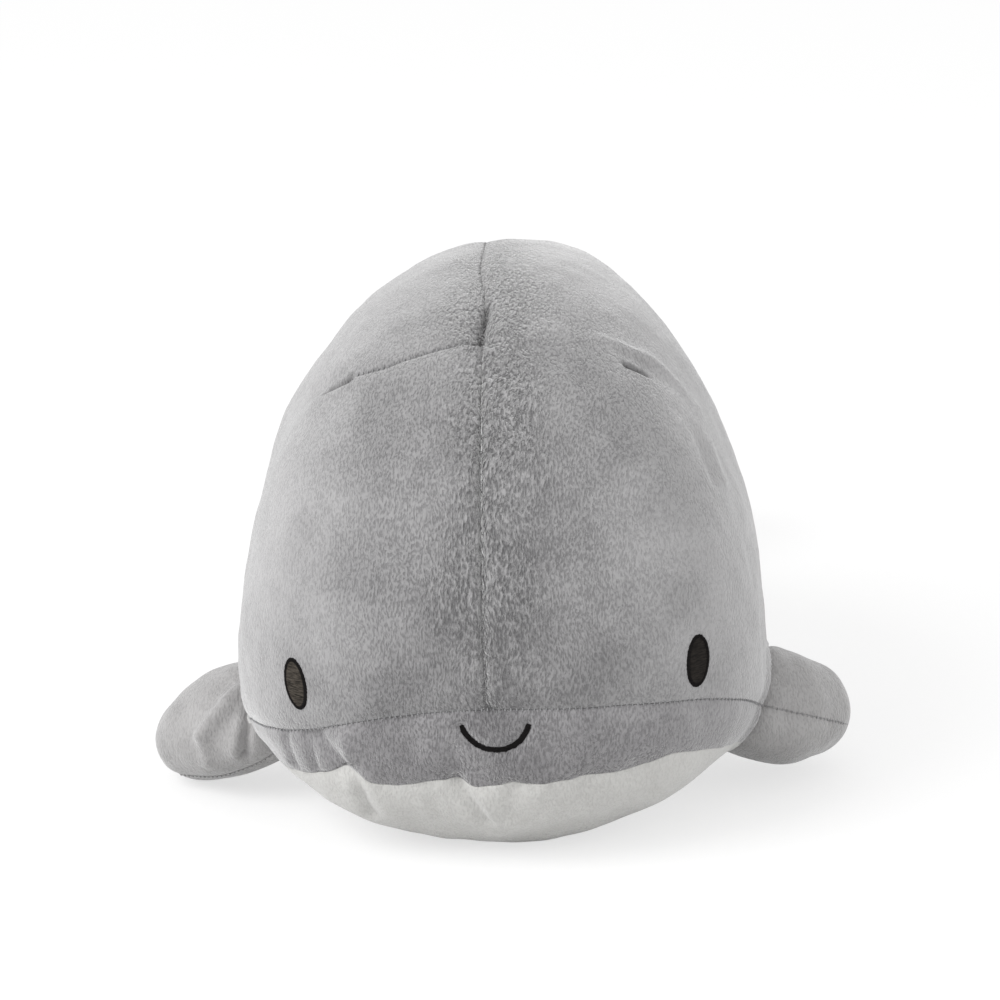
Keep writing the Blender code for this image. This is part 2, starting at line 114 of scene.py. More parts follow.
# %% [markdown]
# ## The body's shape
# The whale is one swelling form, and its panels are cut from it along the seams. Each slice across
# the body is a rounded square or an ellipse with its own width, top, widest height and bottom. The
# same formulas gave the solids of the frame, so the fabric lies where they are. Here they work on
# whole arrays of points at once, because the fabric needs many more points than the solids do.

# %% Sizes of the body
BODY_LENGTH = 0.375
BODY_WIDTH = 0.2506
BODY_HEIGHT = 0.255
NOSE_HEIGHT = 0.0860
WIDEST_HEIGHT = 0.064
WIDEST_FROM_NOSE = 0.1087
HIGHEST_FROM_NOSE = 0.183
CONTACT_FROM_NOSE = 0.0634
CONTACT_LENGTH = 0.152
STALK_WIDTH = 0.050
STALK_THICKNESS = 0.020
STALK_HEIGHT = 0.095
PLAN_POWER = 2.72
FOREHEAD_POWER = 2.33
CHIN_POWER = 2.65
BACK_POWER = 2.32
BELLY_POWER = 2.0
REAR_POWER = 1.25
SEAM_DROP_SHARE = 0.30
SEAM_DROP_POWER = 0.6
FLAT_CUT = 0.0005
SMALL_WAY = 1e-6
FLIPPER_FROM_NOSE = 0.088
PINCH_LENGTH = 0.016
PINCH_SHARE = 0.84
TAIL_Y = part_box("body_stuffing")[1].y
NOSE_Y = TAIL_Y - BODY_LENGTH
print("nose at", round(NOSE_Y, 4), "and end of the stalk at", round(TAIL_Y, 4))

# %% Soft rises and falls
def dome(share, power):
    """Rise of a rounded end, from 0 at its tip to 1 where it is full."""
    return (1 - (1 - np.clip(share, 0, 1)) ** power) ** (1 / power)


def ease(share):
    """Soft rise from 0 to 1."""
    return (1 - np.cos(np.pi * np.clip(share, 0, 1))) / 2


def taper(share):
    """Soft fall from 1 to 0, which stays full for longer than it is slim."""
    return 1 - ease(np.clip(share, 0, 1) ** REAR_POWER)


print("halfway up, a dome is", dome(0.5, PLAN_POWER).round(3), "and an ease", ease(0.5).round(3))

# %% Slices across the body
def body_section(way):
    """Half width, top, widest height and bottom of the body, at shares of its length."""
    run = way * BODY_LENGTH
    front = run / WIDEST_FROM_NOSE
    rear = taper((run - WIDEST_FROM_NOSE) / (BODY_LENGTH - WIDEST_FROM_NOSE))
    full, slim = BODY_WIDTH / 2, STALK_WIDTH / 2
    width = np.where(front < 1, full * dome(front, PLAN_POWER), slim + (full - slim) * rear)
    sunk = NOSE_HEIGHT + (WIDEST_HEIGHT - NOSE_HEIGHT) * ease(front)
    middle = np.where(front < 1, sunk, STALK_HEIGHT + (WIDEST_HEIGHT - STALK_HEIGHT) * rear)
    stalk_top = STALK_HEIGHT + STALK_THICKNESS / 2
    rise = NOSE_HEIGHT + (BODY_HEIGHT - NOSE_HEIGHT) * dome(run / HIGHEST_FROM_NOSE, FOREHEAD_POWER)
    fall = taper((run - HIGHEST_FROM_NOSE) / (BODY_LENGTH - HIGHEST_FROM_NOSE))
    top = np.where(run < HIGHEST_FROM_NOSE, rise, stalk_top + (BODY_HEIGHT - stalk_top) * fall)
    stalk_bottom = STALK_HEIGHT - STALK_THICKNESS / 2
    contact_end = CONTACT_FROM_NOSE + CONTACT_LENGTH
    drop = NOSE_HEIGHT - (FLAT_CUT + NOSE_HEIGHT) * dome(run / CONTACT_FROM_NOSE, CHIN_POWER)
    lift = 1 - taper((run - contact_end) / (BODY_LENGTH - contact_end))
    lifted = (stalk_bottom + FLAT_CUT) * lift - FLAT_CUT
    bottom = np.where(run < CONTACT_FROM_NOSE, drop, lifted)
    pinch = 1 - PINCH_SHARE * ease((run - BODY_LENGTH) / PINCH_LENGTH + 1)
    top, bottom = (STALK_HEIGHT + (edge - STALK_HEIGHT) * pinch for edge in (top, bottom))
    return width, top, middle, bottom


def body_point(way, turn):
    """Points of the body at shares of its length and angles round it, positive on its left."""
    width, top, middle, bottom = body_section(way)
    upright = np.cos(turn)
    power = np.where(upright > 0, BACK_POWER, BELLY_POWER)
    reach = np.where(upright > 0, top - middle, bottom - middle)
    across = np.sin(turn)
    x = np.sign(across) * width * np.abs(across) ** (2 / power)
    y = NOSE_Y + way * BODY_LENGTH
    z = middle + reach * np.abs(upright) ** (2 / power)
    return np.stack(np.broadcast_arrays(x, y, np.maximum(z, 0)), axis=-1)


def outside_body(points):
    """Less than 0 inside the body, more than 0 outside it."""
    width, top, middle, bottom = body_section((points[..., 1] - NOSE_Y) / BODY_LENGTH)
    upper = points[..., 2] > middle
    power = np.where(upper, BACK_POWER, BELLY_POWER)
    reach = np.where(upper, top - middle, middle - bottom)
    rise = np.abs(points[..., 2] - middle) / reach
    return (np.abs(points[..., 0]) / width) ** power + rise ** power - 1


print("top of the body", body_section(np.array([HIGHEST_FROM_NOSE / BODY_LENGTH]))[1])

# %% [markdown]
# ## Finding the place of a detail
# Seams, darts and folds were measured in the photograph as pixels. A line of sight through a pixel
# meets the plain body at one nearest place, and that is where the detail lies on the whale.

# %% The body's surface behind a pixel
SIGHT_STEPS = 4000


def seen_at(pixel):
    """The point of the plain body at a pixel of the picture, or the nearest one beside it."""
    aside = (pixel[0] - PICTURE_SIDE / 2) * PICTURE_WIDTH / PICTURE_SIDE / CAMERA_DISTANCE
    above = (PICTURE_SIDE / 2 - pixel[1]) * PICTURE_WIDTH / PICTURE_SIDE / CAMERA_DISTANCE
    look = sight_into + aside * sight_right + above * sight_up
    depths = CAMERA_DISTANCE + np.linspace(-BODY_LENGTH / 2, BODY_LENGTH / 2, SIGHT_STEPS)
    places = camera_place + depths[:, None] * look
    places = places[(places[:, 1] > NOSE_Y + SMALL_WAY) & (places[:, 1] < TAIL_Y)]
    outside = outside_body(places)
    hits = np.flatnonzero(outside < 0)
    return places[hits[0] if len(hits) else outside.argmin()]


def to_pixel(points):
    """Pixels of the picture at which points are seen."""
    away = points - camera_place
    scale = PICTURE_SIDE / PICTURE_WIDTH * CAMERA_DISTANCE / (away @ sight_into)
    return PICTURE_SIDE / 2 + np.stack((away @ sight_right * scale, -(away @ sight_up) * scale), axis=-1)


print("middle of the forehead", seen_at((485, 500)).round(3))

# %% [markdown]
# ## Where the seams run
# A hand-sewn toy is never quite even. In the photograph the centre seam lies a few millimetres to the
# whale's right, and the mouth seam is a little lower on that side, so the seam lines get those small
# slants here. The mouth seam runs on as the side seam, past the flipper to the tail.

# %% Seam lines as angles round the body
CENTRE_SEAM_ASIDE = -0.0030
NOTCH_RUN = 0.090
NOTCH_LEAN = 0.0024
NOTCH_LEAN_RUN = 0.008
TOP_LEAN = 0.0034
TOP_LEAN_RUN, TOP_LEAN_LENGTH = 0.115, 0.035
LEFT_RISE_SHARE = 0.165
LEFT_RISE_RUN, LEFT_RISE_LENGTH = 0.030, 0.090
RIGHT_DROP_SHARE = 0.18
NOSE_DROP_SHARE = 0.10
NOSE_DROP_LENGTH = 0.050
NOSE_DROP_POWER = 0.15


def centre_turn(way):
    """Angle of the centre seam, which lies off centre over the head and on centre at the tail."""
    width, run = body_section(way)[0], way * BODY_LENGTH
    aside = CENTRE_SEAM_ASIDE - TOP_LEAN * ease((run - TOP_LEAN_RUN) / TOP_LEAN_LENGTH)
    aside = aside * (1 - ease((run - HIGHEST_FROM_NOSE) / HIGHEST_FROM_NOSE))
    aside = aside - NOTCH_LEAN * np.exp(-((run - NOTCH_RUN) / NOTCH_LEAN_RUN) ** 2)
    share = np.clip(np.abs(aside) / np.maximum(width, abs(CENTRE_SEAM_ASIDE) * 2), 0, 1)
    return np.sign(aside) * np.arcsin(share ** (BACK_POWER / 2))


def seam_turn(way, side):
    """Angle of the side seam on one side, positive there, lower in front on the whale's right."""
    run, arch = way * BODY_LENGTH, np.sin(np.pi * np.clip(way, 0, 1))
    rise = LEFT_RISE_SHARE * (1 - ease((run - LEFT_RISE_RUN) / LEFT_RISE_LENGTH))
    fall = RIGHT_DROP_SHARE * (1 - ease(run / FLIPPER_FROM_NOSE))
    nose = NOSE_DROP_SHARE * arch ** NOSE_DROP_POWER * (1 - ease(run / NOSE_DROP_LENGTH))
    drop = arch ** SEAM_DROP_POWER * (SEAM_DROP_SHARE + np.where(side > 0, -rise, fall))
    drop = drop + np.where(side > 0, 0, nose)
    return np.pi / 2 + np.arcsin(drop ** (BELLY_POWER / 2))


def side_turn(way, share, side):
    """Angle at a share of the way from the centre seam down to the side seam."""
    start = centre_turn(way)
    return start + (side * seam_turn(way, side) - start) * share


def under_turn(way, share):
    """Angle on the underside, from the right side seam at -1 to the left one at 1."""
    side = np.where(share < 0, -1, 1)
    seam = seam_turn(way, side)
    return side * (np.pi - (np.pi - seam) * np.abs(share))


print("side seam at the flipper", body_point(np.array([0.3]), seam_turn(np.array([0.3]), 1)))

# %% [markdown]
# ## Closed skins from grids of points
# Real pile fabric has a thickness, so each panel is a closed skin: an outer grid of points, the same
# grid moved in by the thickness, and a narrow wall round the edge. A grid is quick to compute, and its
# rows and columns can be set closer together where a seam or a dart needs them. A filling is a tube of
# rings with a cap over each end.

# %% Normals and faces of grids
FABRIC_THICKNESS = 0.0012
TURN_STEP = 0.002
WAY_STEP_SHARE = 0.01
MERGE_DISTANCE = 1e-6


def body_normal(way, turn):
    """Outward directions of the body's surface."""
    way, turn = np.broadcast_arrays(way, turn)
    round_it = body_point(way, turn + TURN_STEP) - body_point(way, turn - TURN_STEP)
    ahead, behind = way * (1 + WAY_STEP_SHARE) + SMALL_WAY, way * (1 - WAY_STEP_SHARE)
    along = body_point(ahead, turn) - body_point(behind, turn)
    normal = np.cross(round_it, along)
    normal[way < SMALL_WAY] = (0, -1, 0)
    return normal / np.maximum(np.linalg.norm(normal, axis=-1, keepdims=True), SMALL_WAY ** 3)


def grid_faces(rows, columns, closed=False):
    """Faces of a grid, whose first side runs along its columns."""
    row, column = np.meshgrid(np.arange(rows - 1), np.arange(columns - (not closed)), indexing="ij")
    here, aside = row * columns + column, row * columns + (column + 1) % columns
    return np.stack((here, aside, aside + columns, here + columns), axis=-1).reshape(-1, 4)


def shell_faces(rows, columns, closed=False):
    """Faces of an outer grid, an inner grid after it and the walls that join their edges."""
    outer, offset = grid_faces(rows, columns, closed), rows * columns
    across, down = np.arange(columns - (not closed)), np.arange(rows - 1) * columns
    ahead, last_row = (across + 1) % columns, (rows - 1) * columns
    edges = [(ahead, across), (last_row + across, last_row + ahead)]
    if not closed:
        edges += [(down + 2 * columns - 1, down + columns - 1), (down, down + columns)]
    walls = [np.stack((first, last, last + offset, first + offset), axis=-1) for first, last in edges]
    return np.concatenate([outer, outer[:, ::-1] + offset] + walls)


def tube_faces(rows, columns):
    """Faces of a tube of rings, with a cap over each end."""
    last_row = (rows - 1) * columns
    caps = [tuple(range(columns))[::-1], tuple(range(last_row, last_row + columns))]
    return [tuple(face) for face in grid_faces(rows, columns, True).tolist()] + caps


print("a shell of 3 by 4 points has", len(shell_faces(3, 4)), "faces")

# %% A finished piece
def make_piece(name, points, faces, finish=None, slot=None, body="body", pressed=None):
    """A smooth mesh object made of points and faces, on its body."""
    mesh = bpy.data.meshes.new(name)
    mesh.from_pydata(np.asarray(points).reshape(-1, 3).tolist(), [], [tuple(face) for face in faces])
    # pressed holds the painted shade of slits and seam grooves, kept as a point attribute
    if pressed is not None:
        mesh.attributes.new("pressed", "FLOAT", "POINT").data.foreach_set("value", np.ravel(pressed))
    shape = bmesh.new()
    shape.from_mesh(mesh)
    bmesh.ops.remove_doubles(shape, verts=shape.verts, dist=MERGE_DISTANCE)
    shape.to_mesh(mesh)
    shape.free()
    mesh.polygons.foreach_set("use_smooth", [True] * len(mesh.polygons))
    piece = bpy.data.objects.new(name, mesh)
    bpy.context.scene.collection.objects.link(piece)
    if finish:
        mesh.materials.append(finish)
    if body:
        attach(piece, body)
    print(name, len(mesh.vertices), "points")
    return piece


# %% [markdown]
# ## Lines on the body, and the distance to them
# Almost everything that shapes the fabric happens beside a line: it rolls into a seam, it puckers along
# a gathered edge, it sinks at a dart. So the tool for all of it is the distance from each point to a
# line. Soft lumps from uneven stuffing are sums of a few long waves with fixed directions.

# %% Distance to a line, and soft lumps
FAR_AWAY = 1.0
LINE_REACH = 0.03
POINTS_AT_ONCE = 2000
LUMP_WAVES = 14
LUMP_SPREAD = (0.75, 1.5)


def distance_to(points, line, reach=LINE_REACH):
    """Distance to a line, for the points within reach of it."""
    flat = points.reshape(-1, 3)
    near = np.all((flat > line.min(axis=0) - reach) & (flat < line.max(axis=0) + reach), axis=1)
    start, step = line[:-1], np.diff(line, axis=0)
    length = np.maximum(np.linalg.norm(step, axis=1), SMALL_WAY)
    distance, chosen = np.full(len(flat), FAR_AWAY), np.flatnonzero(near)
    for part in np.array_split(chosen, max(1, len(chosen) // POINTS_AT_ONCE)):
        offset = flat[part][:, None, :] - start[None]
        share = np.clip((offset * step).sum(axis=2) / length ** 2, 0, 1)
        distance[part] = np.linalg.norm(offset - share[..., None] * step, axis=2).min(axis=1)
    return distance.reshape(points.shape[:-1])


def lumps(points, size, seed):
    """Soft swellings of about this size, from -1 to 1."""
    draw = np.random.default_rng(seed)
    direction = draw.normal(size=(LUMP_WAVES, 3))
    direction /= np.linalg.norm(direction, axis=1, keepdims=True)
    length = size * draw.uniform(*LUMP_SPREAD, LUMP_WAVES)
    phase = draw.uniform(0, 2 * np.pi, LUMP_WAVES)
    waves = np.sin(points @ (direction * 2 * np.pi / length[:, None]).T + phase)
    return waves.sum(axis=-1) / (LUMP_WAVES / 2) ** 0.5 / 2


def uneven(points, kinds):
    """Lumps of several kinds together, each with its height, its size and its seed."""
    return sum(height * lumps(points, size, seed) for height, size, seed in kinds)


def bump(distance, width):
    """A soft bump, 1 at no distance and a third at its width."""
    return np.exp(-(distance / width) ** 2)


def roll(distance, radius):
    """Depth of an edge that turns in over a radius, as fabric does at a seam."""
    inside = np.clip(1 - distance / radius, 0, 1)
    return radius * (1 - np.sqrt(1 - inside ** 2))


def groove(distance, depth, width):
    """A soft groove of this depth beside a line."""
    return -depth * bump(distance, width)


def line_relief(points, lines, reach=3):
    """Ridges and creases along lines, each with its height and its width."""
    return sum(height * bump(distance_to(points, line, reach * width), width)
               for line, height, width in lines)


print("a bump at its width is", bump(1.0, 1.0).round(2))

# %% Steps along a line
def run_along(line):
    """Distance from the start of a line to each of its points."""
    return np.concatenate(([0], np.cumsum(np.linalg.norm(np.diff(line, axis=0), axis=1))))


def read_along(steps, run, values):
    """Rows of values, read at steps along a line."""
    return np.stack([np.interp(steps, run, column) for column in values.T], axis=-1)


def smooth_line(corners, count):
    """An evenly stepped line through given corners."""
    corners = np.asarray(corners, dtype=float)
    run = run_along(corners)
    return read_along(np.linspace(0, run[-1], count), run, corners)


def top_turn(way, across):
    """Angle of the point of the back or forehead at a distance from the middle plane."""
    width = body_section(way)[0]
    share = np.clip(np.abs(across) / np.maximum(width, SMALL_WAY), 0, 1)
    return np.sign(across) * np.arcsin(share ** (BACK_POWER / 2))


print("a line round a corner", smooth_line(((0, 0), (1, 0), (1, 1)), 5).tolist())

# %% [markdown]
# ## The lines of this whale
# The centre seam comes over the head, and at a notch above the brow a curved dart runs off it to the
# whale's right. On the left a dimple and a ridge answer it. The mouth seam goes round the face from
# flank to flank, and the chin strip ends below it at a line that wavers, because the white fabric
# under it is gathered in by hand. A crease is written as its pixels, its height, which is less than 0
# where it sinks in, and its width.

# %% Where the chin strip ends
CHIN_END_WAY = 0.100 / BODY_LENGTH
BISECTIONS = 40
CHIN_TABLE_COUNT = 2001
CHIN_SOFTENING = 22
CHIN_PIXELS = (
    (277, 767), (284, 768), (298, 768), (320, 768), (335, 768), (346, 769), (354, 772), (366, 779),
    (380, 785), (396, 788), (416, 786), (437, 782), (451, 782), (463, 784), (479, 787), (497, 786),
    (514, 783), (535, 783), (551, 782), (573, 780), (583, 777), (597, 776), (624, 773), (639, 770),
    (659, 762), (676, 754), (696, 749), (716, 746), (734, 743))
CHIN_TURN = ((0.003, 0, -0.008), (0.010, 0, -0.022))
chin_places = np.array([seen_at(pixel) for pixel in CHIN_PIXELS])
chin_places = np.concatenate((chin_places, chin_places[-1] + np.array(CHIN_TURN)))
SIDES = {"right": -1, "left": 1}


def find_chin_way(share):
    """Where on the underside the chin line is crossed, at shares from the right seam to the left."""
    low, high = np.full(share.shape, SMALL_WAY), np.full(share.shape, CHIN_END_WAY)
    for _ in range(BISECTIONS):
        middle = (low + high) / 2
        point = body_point(middle, under_turn(middle, share))
        above = point[..., 2] > np.interp(point[..., 0], chin_places[:, 0], chin_places[:, 2])
        low, high = np.where(above, middle, low), np.where(above, high, middle)
    return low


chin_table = np.linspace(-1, 1, CHIN_TABLE_COUNT)
softening = np.hanning(CHIN_SOFTENING * 2 + 1) / CHIN_SOFTENING
chin_table_ways = np.pad(find_chin_way(chin_table), CHIN_SOFTENING, mode="edge")
chin_table_ways = np.convolve(chin_table_ways, softening, mode="valid")


def chin_way(share):
    """Where the chin strip ends, a little softened, so that the grid follows it evenly."""
    return np.interp(share, chin_table, chin_table_ways)


print("the chin strip ends", (chin_way(0.0) * BODY_LENGTH).round(4), "behind the nose at the middle")

# %% Evenly spread rows and columns
SHARES_CLOSE_TO_EDGE = 2.2
EVEN_PART = 0.7
FINE_WAYS = 1200
WAY_TURNS = (0.0, 0.8, 1.6, 2.6)


def even_shares(count):
    """Shares across the underside, set so that the chin line's points are evenly spread."""
    steps = np.linspace(-1, 1, count * 8)
    share = np.sign(steps) * (1 - (1 - np.abs(steps)) ** SHARES_CLOSE_TO_EDGE)
    way = chin_way(share)
    run = run_along(body_point(way, under_turn(way, share)))
    across = run / run[-1] * EVEN_PART + (steps + 1) / 2 * (1 - EVEN_PART)
    return np.interp(np.linspace(0, 1, count), across, share)


def even_ways(count, start=0.0, weights=()):
    """Shares of the body's length whose rows are evenly spread over its surface."""
    fine = start + (1 - start) * np.linspace(0, 1, FINE_WAYS) ** 3
    rows = [body_point(fine, np.full(fine.shape, turn)) for turn in WAY_TURNS]
    steps = sum(np.linalg.norm(np.diff(row, axis=0), axis=1) for row in rows) / len(rows)
    middles = (fine[1:] + fine[:-1]) / 2 * BODY_LENGTH
    for place, width, factor in weights:
        steps = steps * (1 + (factor - 1) * bump(middles - place, width))
    run = np.concatenate(([0], np.cumsum(steps)))
    return np.interp(np.linspace(0, run[-1], count), run, fine)


print("five even ways", even_ways(5).round(3))

# %% Seam lines as rows of points
LINE_COUNT, CHIN_LINE_COUNT = 260, 160
LINE_WAYS = even_ways(LINE_COUNT)
centre_line = body_point(LINE_WAYS, centre_turn(LINE_WAYS))
side_lines = {side: body_point(LINE_WAYS, SIDES[side] * seam_turn(LINE_WAYS, SIDES[side])) for side in SIDES}
mouth_line = np.concatenate((side_lines["right"][::-1], side_lines["left"][1:]))
chin_shares = even_shares(CHIN_LINE_COUNT)
chin_line = body_point(chin_way(chin_shares), under_turn(chin_way(chin_shares), chin_shares))
print("mouth seam of", len(mouth_line), "points and chin line of", len(chin_line))

# %% The dart and the creases of the head
TRACED_POINTS = 60
DART_PIXELS = (
    (482, 339), (464, 341), (451, 345), (433, 350), (415, 355), (401, 359), (386, 366), (372, 370),
    (357, 375))
CREASE_PIXELS = (
    (((348, 379), (337, 384), (326, 389)), -0.0042, 0.0026),
    (((340, 374), (328, 382), (316, 390)), -0.0024, 0.0062),
    (((352, 386), (336, 393), (314, 403)), 0.0007, 0.0036),
    (((627, 364), (634, 367), (648, 373)), -0.0040, 0.0017),
    (((626, 356), (645, 366), (660, 376)), -0.0009, 0.0050),
    (((600, 339), (619, 346), (633, 351), (646, 356), (658, 363), (666, 372), (680, 388)), 0.0018, 0.0038),
    (((696, 410), (698, 426)), 0.0011, 0.0045),
    (((699, 444), (705, 460), (713, 480)), -0.0012, 0.0042),
    (((709, 444), (714, 461), (722, 480)), 0.0012, 0.0045),
    (((535, 840), (575, 832), (605, 824)), -0.0046, 0.018),
    (((425, 832), (455, 838)), -0.0042, 0.015),
    (((340, 800), (380, 818)), 0.0012, 0.014),
    (((487, 307), (485, 318), (482, 337)), -0.0034, 0.0017))


def traced(pixels):
    """A line on the plain body behind a row of pixels."""
    return smooth_line([seen_at(pixel) for pixel in pixels], TRACED_POINTS)


dart_line = traced(DART_PIXELS)
creases = [(traced(pixels), height, width) for pixels, height, width in CREASE_PIXELS]
print("the dart runs", (dart_line[[0, -1], 1] - NOSE_Y).round(3), "behind the nose, and the creases",
      [(line[[0, -1], 1] - NOSE_Y).round(3).tolist() for line, _, _ in creases[:6]])

# %% [markdown]
# ## Where the flippers are sewn on
# A flipper is an upper and a lower piece of the grey fabric, sewn together round the edge, turned and
# stuffed, and sewn to the body round its open end. It is thick at the root, rounded at the tip, and it
# hangs a little, the right one more than the left. Its shape is a row of ellipses along the outward
# direction of its hinge, and its root ends where each line along it meets the body.

# %% Shape of a flipper
FLIPPER_REACHES = {"left": 0.0484, "right": 0.0585}
FLIPPER_CHORD = 0.068
FLIPPER_THICKNESS = {"left": 0.0550, "right": 0.0525}
FLIPPER_SWEEP = 0.018
FLIPPER_LOWERING = {"left": 0.0048, "right": 0.0056}
FLIPPER_DROOPS = {"left": math.radians(21), "right": math.radians(27)}
FULL_SHARE = 0.34
ROOT_SIZE_SHARE = 0.92
ROOT_TUCK = 0.0012
ROOT_SEARCH = 0.045
print("flipper reaches", FLIPPER_REACHES)

# %% Points of a flipper
def joint_of(name):
    """The record's entry for a joint."""
    return next(entry for entry in frame["record"]["behaviour"]["joints"] if entry["name"] == name)


def hinge_frame(side_name):
    """Hinge of a flipper: its place, and the directions outward, backward and upward."""
    side, joint = SIDES[side_name], joint_of("flipper_" + side_name + "_hinge")
    along = Vector(joint["axis"]).normalized() * -side
    level = Vector((side, 0, 0))
    level = (level - along * level.dot(along)).normalized()
    outward = Matrix.Rotation(side * FLIPPER_DROOPS[side_name], 3, along) @ level
    upward = (outward * side).cross(along)
    return [np.array(value) for value in (joint["pos_m"], outward, along, upward)]


def flipper_place(side_name, out, size, angle, share):
    """Point at a distance out, on an ellipse of a size, at an angle from the leading edge."""
    origin, outward, along, upward = hinge_frame(side_name)
    back = FLIPPER_SWEEP * share - FLIPPER_CHORD / 2 * size * np.cos(angle)
    rise = FLIPPER_THICKNESS[side_name] / 2 * size * np.sin(angle) - FLIPPER_LOWERING[side_name]
    return origin + out[..., None] * outward + back[..., None] * along + rise[..., None] * upward


def flipper_root(side_name, angle):
    """How far out each line along the flipper meets the body."""
    low, high = np.full(angle.shape, -ROOT_SEARCH), np.full(angle.shape, ROOT_SEARCH / 2)
    for _ in range(BISECTIONS):
        middle = (low + high) / 2
        outside = outside_body(flipper_place(side_name, middle, ROOT_SIZE_SHARE, angle, 0)) > 0
        low, high = np.where(outside, low, middle), np.where(outside, middle, high)
    return low


def flipper_size(share):
    """Size of the ellipses from root to tip."""
    swell = ROOT_SIZE_SHARE + (1 - ROOT_SIZE_SHARE) * np.sin(np.pi / 2 * np.clip(share / FULL_SHARE, 0, 1))
    tip = np.clip((share - FULL_SHARE) / (1 - FULL_SHARE), 0, 1)
    return swell * np.sqrt(1 - tip ** 2)


def flipper_point(side_name, share, angle, inset=0.0):
    """Point of a flipper at a share of its length and an angle round it."""
    root = flipper_root(side_name, angle) - ROOT_TUCK + inset
    out = root + (FLIPPER_REACHES[side_name] - inset - root) * share
    size = flipper_size(share) * (1 - inset / (FLIPPER_THICKNESS[side_name] / 2))
    return flipper_place(side_name, out, size, angle, share)


ROOT_COUNT = 90
ROUND = np.linspace(0, 2 * np.pi, ROOT_COUNT)
root_lines = {name: flipper_place(name, flipper_root(name, ROUND), ROOT_SIZE_SHARE, ROUND, 0)
              for name in SIDES}
for name, line in root_lines.items():
    print(name, "root from", line.min(axis=0).round(3), "to", line.max(axis=0).round(3))

# %% [markdown]
# ## How the stuffed fabric swells and sinks
# Stuffing presses the panels out between the seams. At a seam the cut edges are turned inside, so
# each panel rolls over its edge into the seam. All of this is one function of a point, so the four
# panels and the filling under them keep together. A bulge is written as its place across, behind the
# nose and above the floor, and then its width and its height.

# %% Swellings, grooves and rolled edges
BODY_LUMPS = ((0.0011, 0.085, 3), (0.0005, 0.034, 5), (0.00022, 0.013, 8))
BULGES = (
    (-0.085, 0.150, 0.185, 0.048, -0.0014), (-0.096, 0.150, 0.178, 0.032, 0.0026),
    (-0.046, 0.203, 0.241, 0.030, -0.0028), (-0.084, 0.178, 0.212, 0.024, -0.0014),
    (-0.122, 0.110, 0.100, 0.040, 0.0008), (0.070, 0.150, 0.218, 0.035, 0.0028),
    (0.050, 0.196, 0.241, 0.032, 0.0016), (0.098, 0.150, 0.175, 0.036, 0.0010),
    (0.125, 0.120, 0.130, 0.035, 0.0026), (0.100, 0.200, 0.130, 0.060, 0.0010),
    (0.020, 0.160, 0.250, 0.045, 0.0010), (0.124, 0.095, 0.078, 0.017, 0.0012))
SEAM_ROLL = 0.0008
CHIN_ROLL = 0.0005
CENTRE_ROLL, CENTRE_ROLL_RISE = 0.0002, 0.0004
CENTRE_ROLL_RUN, CENTRE_ROLL_LENGTH = 0.070, 0.020
CENTRE_PULL, CENTRE_PULL_RISE, CENTRE_PULL_LENGTH = 0.0002, 0.0004, 0.040
CENTRE_WIDTH = 0.0045
BROW_RUN, BROW_LENGTH = 0.075, 0.020
BROW_GROOVE = (0.0009, 0.0020)
NOTCH_GROOVE = (0.0022, 0.0055)
NOTCH_START, NOTCH_LENGTH = 0.006, 0.022
MOUTH_GROOVE = (0.0012, 0.0040)
DART_SLIT, DART_HOLLOW = (0.0010, 0.0012), (0.0008, 0.0060)
WELT_ASIDE = 0.0048
WELT_WIDTH = 0.0040
WELT_HEIGHTS = {"left": 0.0027, "right": 0.0008}
WELT_LUMPS = ((0.15, 0.011, 41),)
ROOT_GROOVE = (0.0014, 0.0026)


def below_brow(run):
    """1 on the forehead, where the long pile hides the centre seam, falling to 0 over the head."""
    return 1 - ease((run - BROW_RUN) / BROW_LENGTH)


def centre_relief(points, run):
    """The centre seam: rounder edges and a deeper pull over the head, deepest at the notch."""
    away = distance_to(points, centre_line)
    notch = bump(np.maximum(run - NOTCH_RUN, 0), NOTCH_LENGTH) * (run > NOTCH_RUN - NOTCH_START)
    edge = CENTRE_ROLL + CENTRE_ROLL_RISE * ease((run - CENTRE_ROLL_RUN) / CENTRE_ROLL_LENGTH)
    pull = CENTRE_PULL + CENTRE_PULL_RISE * ease((run - BROW_RUN) / CENTRE_PULL_LENGTH)
    grooves = notch * groove(away, *NOTCH_GROOVE) + below_brow(run) * groove(away, *BROW_GROOVE)
    return grooves - roll(away, edge) + groove(away, pull, CENTRE_WIDTH)


def welt_relief(points):
    """The swollen rim round each flipper's root, and the groove of its seam."""
    relief = 0.0
    for name, line in root_lines.items():
        root = distance_to(points, line)
        welt = bump(root - WELT_ASIDE, WELT_WIDTH) * (root < FAR_AWAY / 2)
        welt = WELT_HEIGHTS[name] * welt * (1 + uneven(points, WELT_LUMPS))
        relief = relief + welt + groove(root, *ROOT_GROOVE)
    return relief


print(len(BULGES), "bulges and", len(root_lines), "welts")

# %% The relief of the body, and the painted shade of its slits and seams
def body_relief(points, way):
    """How far the stuffed fabric stands out from the plain body, less than 0 where it sinks in."""
    relief = uneven(points, BODY_LUMPS) + centre_relief(points, way * BODY_LENGTH)
    for x, from_nose, z, width, height in BULGES:
        away = np.linalg.norm(points - np.array((x, NOSE_Y + from_nose, z)), axis=-1)
        relief = relief + height * bump(away, width)
    mouth, dart = distance_to(points, mouth_line), distance_to(points, dart_line)
    relief = relief - roll(mouth, SEAM_ROLL) + groove(mouth, *MOUTH_GROOVE)
    relief = relief + groove(dart, *DART_SLIT) + groove(dart, *DART_HOLLOW)
    return relief + line_relief(points, creases) + welt_relief(points)


# Painted shade in slits and seam grooves: which creases get it, how strong it is and how wide
SLIT_DEPTH = 0.0030
CENTRE_SLIT_SHADE, FOREHEAD_SLIT_SHADE, DART_SLIT_SHADE = 0.25, 0.15, 0.35
CENTRE_SLIT_WIDTH, DART_SLIT_WIDTH = 0.0014, 0.0011


